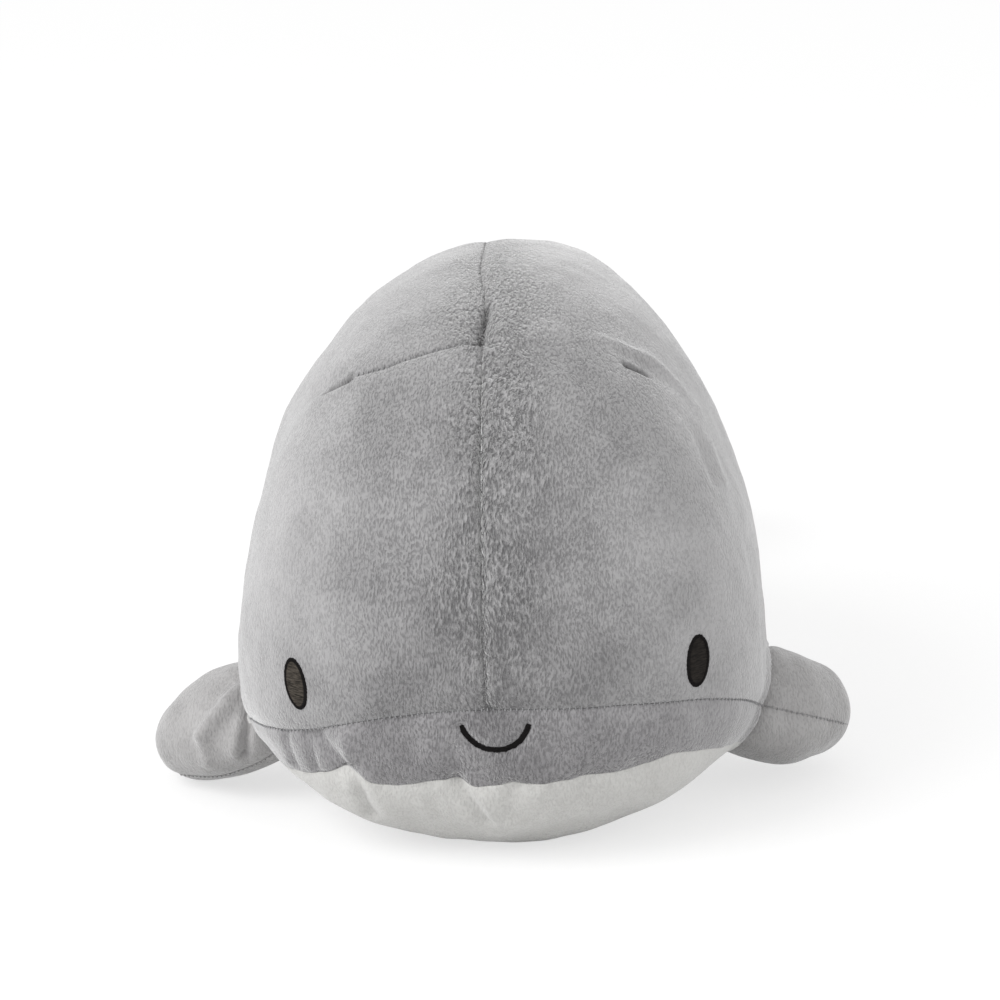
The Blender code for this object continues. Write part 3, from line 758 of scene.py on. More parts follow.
def painted_slit_shade(points):
    """How far a point lies in a slit or a seam's groove, which sets the painted shade that darkens the pile
    there.
    """
    deep = CENTRE_SLIT_SHADE + FOREHEAD_SLIT_SHADE * below_brow(points[..., 1] - NOSE_Y)
    deep = deep * bump(distance_to(points, centre_line), CENTRE_SLIT_WIDTH)
    deep = deep + DART_SLIT_SHADE * bump(distance_to(points, dart_line), DART_SLIT_WIDTH)
    for line, height, width in creases:
        if height < -SLIT_DEPTH and width < SLIT_DEPTH:
            deep = deep + bump(distance_to(points, line), width)
    return np.clip(deep, 0, 1)


print("relief on the forehead", body_relief(seen_at((485, 500))[None], np.array([0.1])).round(5))

# %% The smile's line and the folds of chin and belly
SMILE_PIXELS = (
    (461, 726), (464, 733), (469, 739), (476, 745), (485, 749), (495, 750), (505, 749), (514, 745),
    (521, 739), (526, 732), (529, 724))
SMILE_GROOVE = (0.0010, 0.0026)
SMILE_RIM_ASIDE = 0.0050
SMILE_RIM = (-0.0004, 0.0024)
FOLD_STRENGTH = 1.15
FOLD_REACH = 4
FOLDS = (
    (((284, 733), (289, 748), (294, 764)), 0.0018, 0.0030),
    (((306, 735), (312, 750), (316, 768)), 0.0018, 0.0030),
    (((318, 736), (330, 752), (344, 766)), 0.0030, 0.0045),
    (((346, 738), (350, 760), (353, 788)), -0.0020, 0.0040),
    (((352, 776), (361, 796), (372, 815)), 0.0026, 0.0034),
    (((368, 778), (379, 796), (390, 814)), -0.0016, 0.0045),
    (((404, 726), (409, 740), (411, 754)), 0.0008, 0.0060),
    (((452, 752), (456, 765), (462, 776)), 0.0014, 0.0040),
    (((458, 782), (470, 800), (486, 824)), 0.0026, 0.0036),
    (((466, 780), (484, 800), (502, 824)), -0.0020, 0.0042),
    (((514, 788), (510, 804), (506, 818)), 0.0020, 0.0040),
    (((587, 782), (590, 800), (588, 814)), 0.0012, 0.0042),
    (((640, 765), (650, 780), (652, 795)), 0.0012, 0.0045),
    (((545, 786), (540, 802), (536, 818)), -0.0012, 0.0050),
    (((425, 788), (434, 804), (440, 820)), 0.0012, 0.0040))
smile_line = traced(SMILE_PIXELS)
fold_lines = [(np.array([seen_at(pixel) for pixel in corners]), depth, width)
              for corners, depth, width in FOLDS]
print("the smile is", (smile_line[-1, 0] - smile_line[0, 0]).round(4), "wide over", len(fold_lines), "folds")

# %% The relief of the chin strip and the belly
GATHER_STRENGTH = 0.0008
GATHER_LENGTH = 0.026
GATHER_SLANT = 0.25
GATHER_KINDS = ((0.65, 1, 0), (0.5, 0.45, 1))
CHIN_REACH, BELLY_REACH, MOUTH_REACH = 0.011, 0.030, 0.006
MOUTH_GATHER_SHARE, MOUTH_GATHER_LENGTH = 0.4, 0.017
CHIN_GROOVE = (0.0006, 0.0035)
CHIN_FADE, CHIN_FADE_FROM, CHIN_FADE_LENGTH = 0.9, 0.098, 0.014


def gathers(points, line, reach, length, seed):
    """Puckers that start at a gathered seam and fade over a distance, running across it."""
    distance = distance_to(points, line, 3 * reach)
    beside = np.stack((points[..., 0], distance * GATHER_SLANT, np.zeros_like(distance)), axis=-1)
    folds = uneven(beside, [(height, length * size, seed + step) for height, size, step in GATHER_KINDS])
    return GATHER_STRENGTH * folds * bump(distance, reach) * (distance < FAR_AWAY / 2)


def under_relief(points, way, reach):
    """Relief under the mouth seam, with puckers that reach this far from the chin line."""
    chin = distance_to(points, chin_line)
    puckers = gathers(points, chin_line, reach, GATHER_LENGTH, 21)
    relief = puckers - roll(chin, CHIN_ROLL) + groove(chin, *CHIN_GROOVE)
    relief = relief * (1 - CHIN_FADE * ease((np.abs(points[..., 0]) - CHIN_FADE_FROM) / CHIN_FADE_LENGTH))
    return body_relief(points, way) - FOLD_STRENGTH * line_relief(points, fold_lines, FOLD_REACH) + relief


def chin_relief(points, way):
    """Relief of the chin strip, which is gathered at its lower line and a little at the mouth seam."""
    smile = distance_to(points, smile_line)
    pressed = groove(smile, *SMILE_GROOVE) + groove(smile - SMILE_RIM_ASIDE, *SMILE_RIM)
    puckers = MOUTH_GATHER_SHARE * gathers(points, mouth_line, MOUTH_REACH, MOUTH_GATHER_LENGTH, 31)
    return under_relief(points, way, CHIN_REACH) + pressed + puckers


def belly_relief(points, way):
    """Relief of the white belly, gathered along the chin line."""
    return under_relief(points, way, BELLY_REACH)


print("relief on the chin", chin_relief(seen_at((495, 765))[None], np.array([0.05])).round(5))

# %% [markdown]
# ## The four panels and the filling
# Two grey panels meet at the centre seam and end at the mouth seam. The chin strip and the white belly
# close the underside. The filling is the same form again, set in a few millimetres under the fabric.

# %% Skins of the body
FILLING_INSET = 0.0033
SIDE_ROWS, SIDE_COLUMNS, SIDE_EDGE = 290, 150, 0.55
CHIN_ROWS, CHIN_COLUMNS, CHIN_EDGE, CHIN_ROW_POWER = 110, 240, 0.4, 2.6
BELLY_ROWS, BELLY_ROW_POWER = 170, 0.85
ROW_WEIGHTS = ((0.090, 0.030, 1.6), (0.090, 0.012, 2.6), (0.375, 0.03, 1.4))


def spread_shares(count, edge):
    """Shares from 0 to 1 that lie closer together at both ends."""
    steps = np.linspace(0, 1, count)
    return steps - edge * np.sin(2 * np.pi * steps) / (2 * np.pi)


def lay_skin(name, way, turn, relief, finish, slot):
    """A closed skin on the body's surface with its relief."""
    base, normal = body_point(way, turn), body_normal(way, turn)
    outer = base + normal * relief(base, way)[..., None]
    outer[..., 2] = np.maximum(outer[..., 2], 0)
    inner = outer - normal * FABRIC_THICKNESS
    # Each point carries its painted shade of slits and seams as its pressed value
    pressed = np.stack([painted_slit_shade(base)] * 2)
    return make_piece(name, (outer, inner), shell_faces(*way.shape), finish, slot, pressed=pressed)


def side_grid(side):
    """Ways and turns of one grey panel's points, from the centre seam to the side seam."""
    rows, columns = even_ways(SIDE_ROWS, 0, ROW_WEIGHTS), spread_shares(SIDE_COLUMNS, SIDE_EDGE)
    way, share = np.meshgrid(rows, columns, indexing="ij")
    turn = side_turn(way, share, side)
    return (way, turn) if side > 0 else (way[:, ::-1], turn[:, ::-1])


def under_grid(rows, behind):
    """Ways and turns of the underside's points, in front of the chin line or behind it."""
    share = even_shares(CHIN_COLUMNS)[::-1]
    line, rows = chin_way(share)[None], rows[:, None]
    way = line + (1 - line) * rows if behind else line * rows
    return way, under_turn(way, np.broadcast_to(share, way.shape))


print("the side seam lies", side_turn(np.array([0.3]), 1.0, 1).round(3), "round the body at the flipper")

# %% [markdown]
# ## Writing a finish as a sum
# A material is a small sum over the surface. One class wraps a node's output, so that adding or
# multiplying two of them in Python adds the Math node that does it. Every other node comes from one
# method, which sets the node's settings before its sockets.

# %% Sockets as values
class Amount:
    """An output of a node, with which sums can be written."""

    def __init__(self, socket):
        self.socket = socket

    def sum(self, operation, first, second):
        node = self.socket.node.id_data.nodes.new("ShaderNodeMath")
        node.operation = operation
        for entry, value in zip(node.inputs, (first, second)):
            join(entry, value)
        return Amount(node.outputs[0])

    def __add__(self, other):
        return self.sum("ADD", self, other)

    def __sub__(self, other):
        return self.sum("SUBTRACT", self, other)

    def __rsub__(self, other):
        return self.sum("SUBTRACT", other, self)

    def __mul__(self, other):
        return self.sum("MULTIPLY", self, other)

    __radd__, __rmul__ = __add__, __mul__


def join(entry, value):
    """Link an output to a socket, or set the socket's own value."""
    if isinstance(value, Amount):
        entry.id_data.links.new(value.socket, entry)
    elif isinstance(value, (tuple, list)) and len(value) == 3 and entry.type == "RGBA":
        entry.default_value = (*value, 1)
    else:
        entry.default_value = value


print("an amount can be added, subtracted and multiplied")

# %% A material that is being written
class Finish:
    """A material that is being written."""

    def __init__(self, name, **plain):
        self.material = bpy.data.materials.new(name)
        self.material.use_nodes = True
        self.nodes = self.material.node_tree.nodes
        self.shader = self.nodes["Principled BSDF"]
        self.set(**plain)
        self.place = self.node("ShaderNodeTexCoord", output="Object")

    def node(self, kind, settings=(), output=0, sockets=(), **inputs):
        """Add a node: its settings first, then its sockets, in order or by name with _ for a space."""
        node = self.nodes.new(kind)
        for key, value in dict(settings).items():
            setattr(node, key, value)
        for entry, value in zip(node.inputs, sockets):
            join(entry, value)
        for key, value in inputs.items():
            title = key.replace("_", " ")
            join(next(entry for entry in node.inputs if entry.name == title and entry.enabled), value)
        return Amount(node.outputs[output])

    def noise(self, size, detail=2.0, rough=0.5, place=None):
        """Cloudy pattern with swellings of about this size, around a half."""
        return self.node("ShaderNodeTexNoise", Vector=place or self.place, Scale=1 / size, Detail=detail,
                         Roughness=rough)

    def mix(self, share, first, second):
        """A colour between two colours."""
        return self.node("ShaderNodeMix", {"data_type": "RGBA"}, 2, Factor=share, A=first, B=second)

    def scaled(self, scale):
        """The place on the surface with its three directions scaled."""
        return self.node("ShaderNodeVectorMath", {"operation": "MULTIPLY"}, sockets=(self.place, scale))

    def size_of(self, value):
        """A value without its sign."""
        return self.node("ShaderNodeMath", {"operation": "ABSOLUTE"}, Value=value)

    def between(self, value, low, high):
        """Soft step from 0 at low to 1 at high."""
        return self.node("ShaderNodeMapRange", {"interpolation_type": "SMOOTHSTEP"}, Value=value,
                         From_Min=low, From_Max=high)

    def set(self, **inputs):
        for key, value in inputs.items():
            join(self.shader.inputs[key.replace("_", " ")], value)

    def relief(self, height, depth, strength=1.0):
        """Raise the surface by a pattern of this depth, in metres."""
        self.set(Normal=self.node("ShaderNodeBump", Height=height, Distance=depth, Strength=strength))


print("a finish can", [word for word in vars(Finish) if not word.startswith("_")])

# %% [markdown]
# ## Short pile fabric
# The grey fabric is a knitted back with a short dense pile. Seen flat on, the tips look darker and
# strewn with tiny strokes, and the colour holds that darkness as painted shade in the middle of the face;
# painted shade also darkens the lower parts, the centre seam and the slits, and painted light lifts the
# crown. At the edges of the form the pile catches the light, which a shader's sheen does, and a painted
# sheen in the colour adds to it. The nap also lies in soft patches that are a little lighter or darker.

# %% Pile fabric as a material
DRIFT_SIZE, DRIFT_DEPTH = 0.050, 0.05
PATCH_SIZE = 0.032
SWIRL_SIZE, SWIRL = 0.026, (0.006, 0.004, 0.004)
NAP_STRETCH = (1.25, 0.60, 0.52)
TUFT_SIZE, TIP_SIZE = 0.0016, 0.0011
FORM_EDGE, FORM_EDGE_BACK = (0.030, 0.125), 0.09
MIDDLE_BAND, LOW_BAND, CROWN_BAND = (0.002, 0.036), (0.085, 0.140), (0.215, 0.252)
BACK_BAND, REAR_BAND = (-0.16, 0.00), (-0.13, -0.05)
PARTING_BAND, PARTING_TOP, PARTING_BACK = (0.0008, 0.0030), (0.205, 0.222), (-0.10, -0.04)
# Painted shade of slits and seam grooves: its near-black colour and how much of it is mixed in
SLIT_SHADE_COLOUR, SLIT_SHADE_SHARE = (0.030, 0.028, 0.029), 0.75
PLAIN_SHADE = 0.43
TUFT_SHADE, TIP_SHADE, PATCH_SHADE = 0.36, 0.27, 0.16
# LOW_SHADE, MIDDLE_SHADE and PARTING_SHADE are painted shade, and CROWN_LIGHT is painted light
LOW_SHADE, MIDDLE_SHADE, PARTING_SHADE, CROWN_LIGHT = 0.09, 0.09, 0.16, 0.13
LOW_CALM, REAR_CALM, EDGE_CALM = 0.45, 0.45, 0.5
TUFT_RISE, TIP_RISE, PARTING_FALL = 0.75, 0.30, 0.8
TUFT_STEP, TUFT_MIDDLE = (0.34, 0.60), 0.6
TIP_STEP, TIP_MIDDLE = (0.30, 0.62), 0.55
CLOUD_STEP, MIDDLE_DRIFT, PARTING_FRAY = (0.3, 0.7), 0.8, 0.0012
PILE = {"Roughness": 0.95, "Sheen_Roughness": 0.42, "IOR": 1.3}


def pile_finish(name, dark, pale, sheen, depth, painted_edge_sheen=0.0, tufted=1.0, parted=0.0):
    """Pile fabric between two colours, tufted near the middle, with fine strokes elsewhere, and painted
    sheen, light and shade.
    """
    finish = Finish(name, Sheen_Weight=sheen, **PILE)
    between, noise = finish.between, finish.noise
    parts = finish.node("ShaderNodeSeparateXYZ", Vector=finish.place).socket.node
    across, back, height = (Amount(output) for output in parts.outputs)
    aside = finish.size_of(across)
    drift = noise(DRIFT_SIZE) * DRIFT_DEPTH - DRIFT_DEPTH / 2
    # edge grows toward the flanks and the back, and sets where the colour gets its painted sheen
    edge = between(aside + drift + between(back, *BACK_BAND) * FORM_EDGE_BACK, *FORM_EDGE)
    patches = between(noise(PATCH_SIZE, 3.0, 0.55), *CLOUD_STEP)
    swirl = finish.node("ShaderNodeTexNoise", output=1, Vector=finish.place, Scale=1 / SWIRL_SIZE, Detail=1.0)
    bent = finish.node("ShaderNodeVectorMath", {"operation": "MULTIPLY_ADD"},
                       sockets=(swirl, SWIRL, finish.scaled(NAP_STRETCH)))
    tufts = between(noise(TUFT_SIZE, place=bent), *TUFT_STEP)
    tips = between(noise(TIP_SIZE, 2.0, 0.55, bent), *TIP_STEP)
    # low and crown are bands by height, for painted shade on the lower parts and painted light on the crown
    low, crown, calm = 1 - between(height, *LOW_BAND), between(height, *CROWN_BAND), 1 - edge * EDGE_CALM
    middle = (1 - between(aside + drift * MIDDLE_DRIFT, *MIDDLE_BAND)) * tufted
    middle = middle * (1 - low * LOW_CALM) * (1 - between(back, *REAR_BAND) * REAR_CALM)
    # The centre seam's parting dips the relief and gets a painted shadow in the colour
    parting = finish.size_of(across - CENTRE_SEAM_ASIDE) + tips * PARTING_FRAY
    parting = (1 - between(parting, *PARTING_BAND)) * (1 - between(height, *PARTING_TOP)) * parted
    parting = parting * (1 - between(back, *PARTING_BACK))
    lie = (tufts - TUFT_MIDDLE) * middle * TUFT_SHADE + (tips - TIP_MIDDLE) * calm * TIP_SHADE
    # Painted sheen lightens the colour toward the edges of the form, and painted shade darkens the lower
    # parts
    lie = lie + (patches - 0.5) * PATCH_SHADE + PLAIN_SHADE + edge * painted_edge_sheen - low * LOW_SHADE
    # Painted shade in the middle of the face and along the centre seam, and painted light on the crown
    lie = lie - middle * MIDDLE_SHADE - parting * PARTING_SHADE + crown * CROWN_LIGHT
    # Painted shade in slits and seam grooves: the pressed amount mixes in a near-black colour
    pressed = finish.node("ShaderNodeAttribute", {"attribute_name": "pressed"}, output=2)
    colour = finish.mix(between(lie, 0.0, 1.0), dark, pale)
    finish.set(Base_Color=finish.mix(pressed * SLIT_SHADE_SHARE, colour, SLIT_SHADE_COLOUR))
    finish.relief(tufts * middle * TUFT_RISE + tips * calm * TIP_RISE - parting * PARTING_FALL, depth)
    return finish.material


print("tufts of", TUFT_SIZE, "m and tips of", TIP_SIZE, "m")

# %% The fabrics and the filling
# Each fabric sets how much painted sheen its colour gets at the edges of the form
grey_pile = pile_finish("grey_pile_fabric", (0.130, 0.128, 0.131), (0.430, 0.424, 0.428), sheen=1.0,
                        depth=0.0014, painted_edge_sheen=0.30, parted=1.0)
chin_pile = pile_finish("chin_grey_pile_fabric", (0.138, 0.134, 0.139), (0.450, 0.441, 0.449), sheen=0.9,
                        depth=0.0014, painted_edge_sheen=0.16, tufted=0.7)
flipper_pile = pile_finish("flipper_grey_pile_fabric", (0.160, 0.156, 0.156), (0.490, 0.481, 0.480),
                           sheen=0.9, depth=0.0014, painted_edge_sheen=0.20, tufted=0.0)
white_pile = pile_finish("white_pile_fabric", (0.50, 0.495, 0.480), (0.69, 0.685, 0.667), sheen=0.4,
                         depth=0.0007, painted_edge_sheen=0.1, tufted=0.0)
fibre = Finish("filling_fibre", Base_Color=(0.80, 0.80, 0.79, 1), Roughness=1.0)
fibre.relief(fibre.noise(0.003, 4.0, 0.7), 0.001)
filling_fibre = fibre.material
print("finishes", [material.name for material in bpy.data.materials])

# %% Lay the four panels
side_skins = {}
for side_name, side in SIDES.items():
    way, turn = side_grid(side)
    side_skins[side_name] = lay_skin("side_skin_" + side_name, way, turn, body_relief, grey_pile, "grey_pile")
    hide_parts("side_panel_" + side_name)
chin_grid = under_grid(spread_shares(CHIN_ROWS, CHIN_EDGE) ** CHIN_ROW_POWER, behind=False)
chin_skin = lay_skin("chin_skin", *chin_grid, chin_relief, chin_pile, "chin_grey_pile")
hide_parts("chin_panel")
belly_grid = under_grid(even_ways(BELLY_ROWS) ** BELLY_ROW_POWER, behind=True)
belly_skin = lay_skin("belly_skin", *belly_grid, belly_relief, white_pile, "white_pile")
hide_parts("belly_panel")

# %% Fill the body
FILLING_ROWS, FILLING_COLUMNS = 90, 80
FILLING_START, FILLING_SHARE = 0.0005, 0.985
BODY_FILLING_INSET = 0.0065


def fill_body():
    """The filling of head, body and stalk, a little inside the skins."""
    rows = even_ways(FILLING_ROWS, FILLING_START) * FILLING_SHARE
    way, turn = np.meshgrid(rows, np.linspace(-np.pi, np.pi, FILLING_COLUMNS, endpoint=False), indexing="ij")
    base, normal = body_point(way, turn), body_normal(way, turn)
    points = base + normal * (body_relief(base, way) - BODY_FILLING_INSET)[..., None]
    points[..., 2] = np.maximum(points[..., 2], FILLING_INSET)
    return make_piece("body_filling", points, tube_faces(*way.shape), filling_fibre, "stuffing_fibre")


body_filling = fill_body()
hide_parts("body_stuffing")

# %% [markdown]
# ## The flippers
# The two halves of each flipper are laid as skins over the same shape. Where they are sewn together
# both roll in, so a fine line runs along the leading edge. On the whale's left that line is turned up
# and crosses the face of the flipper, and on its right it is turned down.

# %% Folds of the flippers
FLIPPER_FOLD_PIXELS = {
    "right": (
        (((238, 688), (224, 706), (210, 723), (201, 736)), 0.0036, 0.0038),
        (((201, 738), (203, 751), (206, 764)), 0.0013, 0.0042),
        (((238, 706), (224, 728), (216, 750)), -0.0018, 0.0062),
        (((247, 716), (246, 735), (244, 756)), -0.0046, 0.0024),
        (((238, 728), (236, 752)), 0.0014, 0.0045),
        (((188, 747), (196, 754)), -0.0014, 0.0046)),
    "left": (
        (((800, 680), (798, 700)), -0.0009, 0.0070),
        (((786, 712), (790, 735)), -0.0007, 0.0060))}
FLIPPER_LINE_POINTS = 30
FRONT_SHARES, FRONT_ANGLES = (0, 0.99, 100), (-1.5, 1.5, 140)
front_share, front_angle = np.meshgrid(np.linspace(*FRONT_SHARES), np.linspace(*FRONT_ANGLES), indexing="ij")
flipper_fronts = {name: flipper_point(name, front_share, front_angle).reshape(-1, 3) for name in SIDES}


def flipper_seen_at(side_name, pixel):
    """The place on a flipper's plain front that the picture shows nearest to a pixel."""
    points = flipper_fronts[side_name]
    return points[np.linalg.norm(to_pixel(points) - np.array(pixel), axis=-1).argmin()]


def flipper_traced(side_name, pixels):
    """A line on a flipper behind a row of pixels."""
    return smooth_line([flipper_seen_at(side_name, pixel) for pixel in pixels], FLIPPER_LINE_POINTS)


flipper_folds = {name: [(flipper_traced(name, pixels), height, width) for pixels, height, width in folds]
                 for name, folds in FLIPPER_FOLD_PIXELS.items()}
print({name: len(folds) for name, folds in flipper_folds.items()}, "folds on the flippers")

# %% Relief of a flipper
SEAM_TURNS = {"left": math.radians(19), "right": math.radians(-46)}
FLIPPER_LUMPS = ((0.0010, 0.040, 51), (0.0004, 0.016, 53))
FLIPPER_SEAM_ROLL = SEAM_ROLL * 0.45
FLIPPER_SEAM_GROOVE = (0.0005, 0.003)
PUCKER_WIDTHS, PUCKER_SLANT = (0.030, 0.026), 0.2
SMALLEST_SIZE = 0.3
PUCKERS = ((0.0016, 0.017, 61),)
PUCKER_LENGTH = 0.012
FLIPPER_ROOT_ASIDE = 0.001
FLIPPER_ROOT_GROOVE = (0.0016, 0.0035)
RIDGE_HEIGHT, RIDGE_ASIDE, RIDGE_WIDTH = 0.0026, 0.004, 0.0075
RIDGE_TURN, RIDGE_TURN_WIDTH = math.radians(95), 0.7
TIP_FADE = 12


def grid_normals(points):
    """Outward directions of a grid of points."""
    down, across = np.gradient(points, axis=0), np.gradient(points, axis=1)
    normal = np.cross(across, down)
    return normal / np.maximum(np.linalg.norm(normal, axis=-1, keepdims=True), SMALL_WAY ** 2)


def flipper_relief(side_name, points, share, angle):
    """How far the flipper's fabric stands out from its plain shape."""
    seam = SEAM_TURNS[side_name]
    turns = [np.abs(angle - place) for place in (seam, seam + 2 * np.pi, np.pi)]
    size = np.maximum(flipper_size(share), SMALLEST_SIZE)
    gap = np.minimum.reduce(turns) * FLIPPER_THICKNESS[side_name] / 2 * size
    root = share * FLIPPER_REACHES[side_name]
    across, rise = np.cos(angle) * PUCKER_WIDTHS[0], np.sin(angle) * PUCKER_WIDTHS[1]
    puckers = np.stack((across, rise, root * PUCKER_SLANT), axis=-1)
    relief = uneven(points, FLIPPER_LUMPS) + uneven(puckers, PUCKERS) * bump(root, PUCKER_LENGTH)
    relief = relief - roll(gap, FLIPPER_SEAM_ROLL) + groove(gap, *FLIPPER_SEAM_GROOVE)
    relief = relief + groove(root - FLIPPER_ROOT_ASIDE, *FLIPPER_ROOT_GROOVE)
    if side_name == "left":
        ridge = bump(root - RIDGE_ASIDE, RIDGE_WIDTH) * bump(angle - RIDGE_TURN, RIDGE_TURN_WIDTH)
        relief = relief + RIDGE_HEIGHT * ridge
    relief = relief + line_relief(points, flipper_folds[side_name])
    return relief * np.clip((1 - share) * TIP_FADE, 0, 1)


print("flipper seams turned by", {name: round(math.degrees(turn)) for name, turn in SEAM_TURNS.items()})

# %% The pieces of a flipper
FLIPPER_ROWS, FLIPPER_HALF_COLUMNS, FLIPPER_EDGE = 80, 84, 0.5
FLIPPER_FILLING_ROWS, FLIPPER_FILLING_COLUMNS, FLIPPER_FILLING_END = 24, 36, 0.98
FLIPPER_FILLING_INSET = FILLING_INSET + FLIPPER_LUMPS[0][0]


def lay_flipper_half(side_name, half, first, last):
    """One fabric half of a flipper, as a closed skin between two angles."""
    columns = first + (last - first) * spread_shares(FLIPPER_HALF_COLUMNS, FLIPPER_EDGE)
    share, angle = np.meshgrid(np.sin(np.linspace(0, 1, FLIPPER_ROWS) * np.pi / 2), columns, indexing="ij")
    if side_name == "left":
        share, angle = share[:, ::-1], angle[:, ::-1]
    base = flipper_point(side_name, share, angle)
    outer = base + grid_normals(base) * flipper_relief(side_name, base, share, angle)[..., None]
    normal = grid_normals(outer)
    normal[-1] = normal[-2].mean(axis=0)
    name = "flipper_" + side_name + "_" + half
    skin = make_piece(name + "_skin", (outer, outer - normal * FABRIC_THICKNESS), shell_faces(*share.shape),
                      flipper_pile, "grey_pile", None)
    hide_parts(name + "_panel")
    return skin


def fill_flipper(side_name):
    """The filling of a flipper, closed at the body and at the tip."""
    rows = np.sin(np.linspace(0, FLIPPER_FILLING_END, FLIPPER_FILLING_ROWS) * np.pi / 2)
    columns = np.linspace(0, 2 * np.pi, FLIPPER_FILLING_COLUMNS, endpoint=False)
    share, angle = np.meshgrid(rows, columns, indexing="ij")
    if side_name == "left":
        angle = angle[:, ::-1]
    points = flipper_point(side_name, share, angle, FLIPPER_FILLING_INSET)
    name = "flipper_" + side_name
    piece = make_piece(name + "_filling", points, tube_faces(*share.shape), filling_fibre,
                       "stuffing_fibre", None)
    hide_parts(name + "_stuffing")
    return piece


def across_hinge(piece, side_name):
    """Bake a piece's place into its points."""
    origin, outward, _, _ = hinge_frame(side_name)
    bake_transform(piece)


for side_name in SIDES:
    seam = SEAM_TURNS[side_name]
    halves = [lay_flipper_half(side_name, "upper", seam, np.pi),
              lay_flipper_half(side_name, "lower", np.pi, 2 * np.pi + seam)]
    for piece in halves + [fill_flipper(side_name)]:
        across_hinge(piece, side_name)

# %% [markdown]
# ## The tail fin
# The tail can't be seen in the photograph, so it is a plain whale's tail of the usual kind: two soft
# lobes with a notch between them, an upper and a lower piece sewn round the edge and lightly stuffed,
# sewn across the pinched end of the stalk.

# %% Shape of the tail fin
FLUKE_LENGTH = 0.082
FLUKE_SPAN = 0.172
FLUKE_THICKNESS = 0.026
FLUKE_NOTCH = 0.020
FLUKE_AXIS_SETBACK = 0.005
FLUKE_TIP_SHARE = 0.74
FLUKE_LOBE_SHARE = 0.40
LEAD_POWER, NOTCH_POWER, TRAIL_POWER, THINNING_POWER = 1.5, 2, 6, 3
FLUKE_ROWS, FLUKE_COLUMNS = 90, 46
FLUKE_FILLING_ROWS, FLUKE_FILLING_COLUMNS, FLUKE_FILLING_END = 46, 30, 0.97
FLUKE_LUMPS = ((0.0009, 0.050, 71), (0.0005, 0.018, 73))
FLUKE_EDGE_ROLL_SHARE = 0.6
FLUKE_TIP_FADE = 14
INNER_CLEAR, OUTER_CLEAR = 0.0001, 0.0002
hinge_y, hinge_z = joint_of("fluke_hinge")["pos_m"][1:]


def fluke_point(span, angle, inset=0.0):
    """Point of the tail fin at a share of its span and an angle round it."""
    reach = np.abs(span)
    root, tip = STALK_WIDTH / FLUKE_SPAN, FLUKE_LENGTH * FLUKE_TIP_SHARE
    lead = tip * np.maximum((reach - root) / (1 - root), 0) ** LEAD_POWER
    notch = FLUKE_NOTCH * np.maximum(1 - reach / FLUKE_LOBE_SHARE, 0) ** NOTCH_POWER
    lobe = FLUKE_LENGTH * (1 - FLUKE_TIP_SHARE) * np.sqrt(np.clip(1 - reach ** TRAIL_POWER, 0, 1))
    trail = tip + lobe - notch
    chord = np.maximum(trail - lead - 2 * inset, 0)
    out = (lead + trail) / 2 - chord / 2 * np.cos(angle)
    thinning = np.sqrt(np.clip(1 - reach ** THINNING_POWER, 0, 1))
    thick = np.maximum(FLUKE_THICKNESS / 2 * thinning - inset, 0)
    x = span * (FLUKE_SPAN / 2 - inset)
    return np.stack((x, hinge_y + out - FLUKE_AXIS_SETBACK, hinge_z + thick * np.sin(angle)), axis=-1)


def fluke_relief(points, span, angle):
    """Relief of the tail fin: soft lumps and the rolled edge of its seam."""
    upright = np.abs(np.sin(angle))
    edge = roll(upright * FLUKE_THICKNESS / 2, SEAM_ROLL) * FLUKE_EDGE_ROLL_SHARE
    tip = np.clip((1 - np.abs(span)) * FLUKE_TIP_FADE, 0, 1)
    return (uneven(points, FLUKE_LUMPS) * upright - edge) * tip


print("tip of the tail fin", fluke_point(np.array(1.0), np.array(0.0)).round(3))

# %% The pieces of the tail fin
def lay_fluke_half(half, first, last):
    """One fabric half of the tail fin."""
    rows, columns = np.sin(np.linspace(-1, 1, FLUKE_ROWS) * np.pi / 2), np.linspace(0, 1, FLUKE_COLUMNS)
    span, angle = np.meshgrid(rows, first + (last - first) * columns, indexing="ij")
    base, up = fluke_point(span, angle), 1 if half == "upper" else -1
    normal = -grid_normals(base)
    normal = np.where(normal[..., 2:] * up < 0, -normal, normal)
    outer = base + normal * fluke_relief(base, span, angle)[..., None]
    inner = outer - np.array((0, 0, up * FABRIC_THICKNESS))
    for grid, clear in ((inner, INNER_CLEAR), (outer, OUTER_CLEAR)):
        grid[..., 2] = hinge_z + up * np.maximum(up * (grid[..., 2] - STALK_HEIGHT), clear)
    faces = shell_faces(*span.shape)[:, ::-1]
    skin = make_piece("fluke_" + half + "_skin", (outer, inner), faces, grey_pile, "grey_pile", None)
    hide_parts("fluke_" + half + "_panel")
    return skin


def fill_fluke():
    """The filling of the tail fin."""
    rows = np.sin(np.linspace(-FLUKE_FILLING_END, FLUKE_FILLING_END, FLUKE_FILLING_ROWS) * np.pi / 2)
    columns = np.linspace(0, 2 * np.pi, FLUKE_FILLING_COLUMNS, endpoint=False)
    points = fluke_point(*np.meshgrid(rows, columns, indexing="ij"), FILLING_INSET)
    faces = [face[::-1] for face in tube_faces(FLUKE_FILLING_ROWS, FLUKE_FILLING_COLUMNS)]
    piece = make_piece("fluke_filling", points, faces, filling_fibre, "stuffing_fibre", None)
    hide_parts("fluke_stuffing")
    return piece


# %% Lay the tail fin
fluke_pieces = [lay_fluke_half("upper", 0, np.pi), lay_fluke_half("lower", np.pi, 2 * np.pi), fill_fluke()]
for piece in fluke_pieces:
    hinge_y - FLUKE_AXIS_SETBACK
    hinge_y + FLUKE_AXIS_SETBACK
    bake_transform(piece)

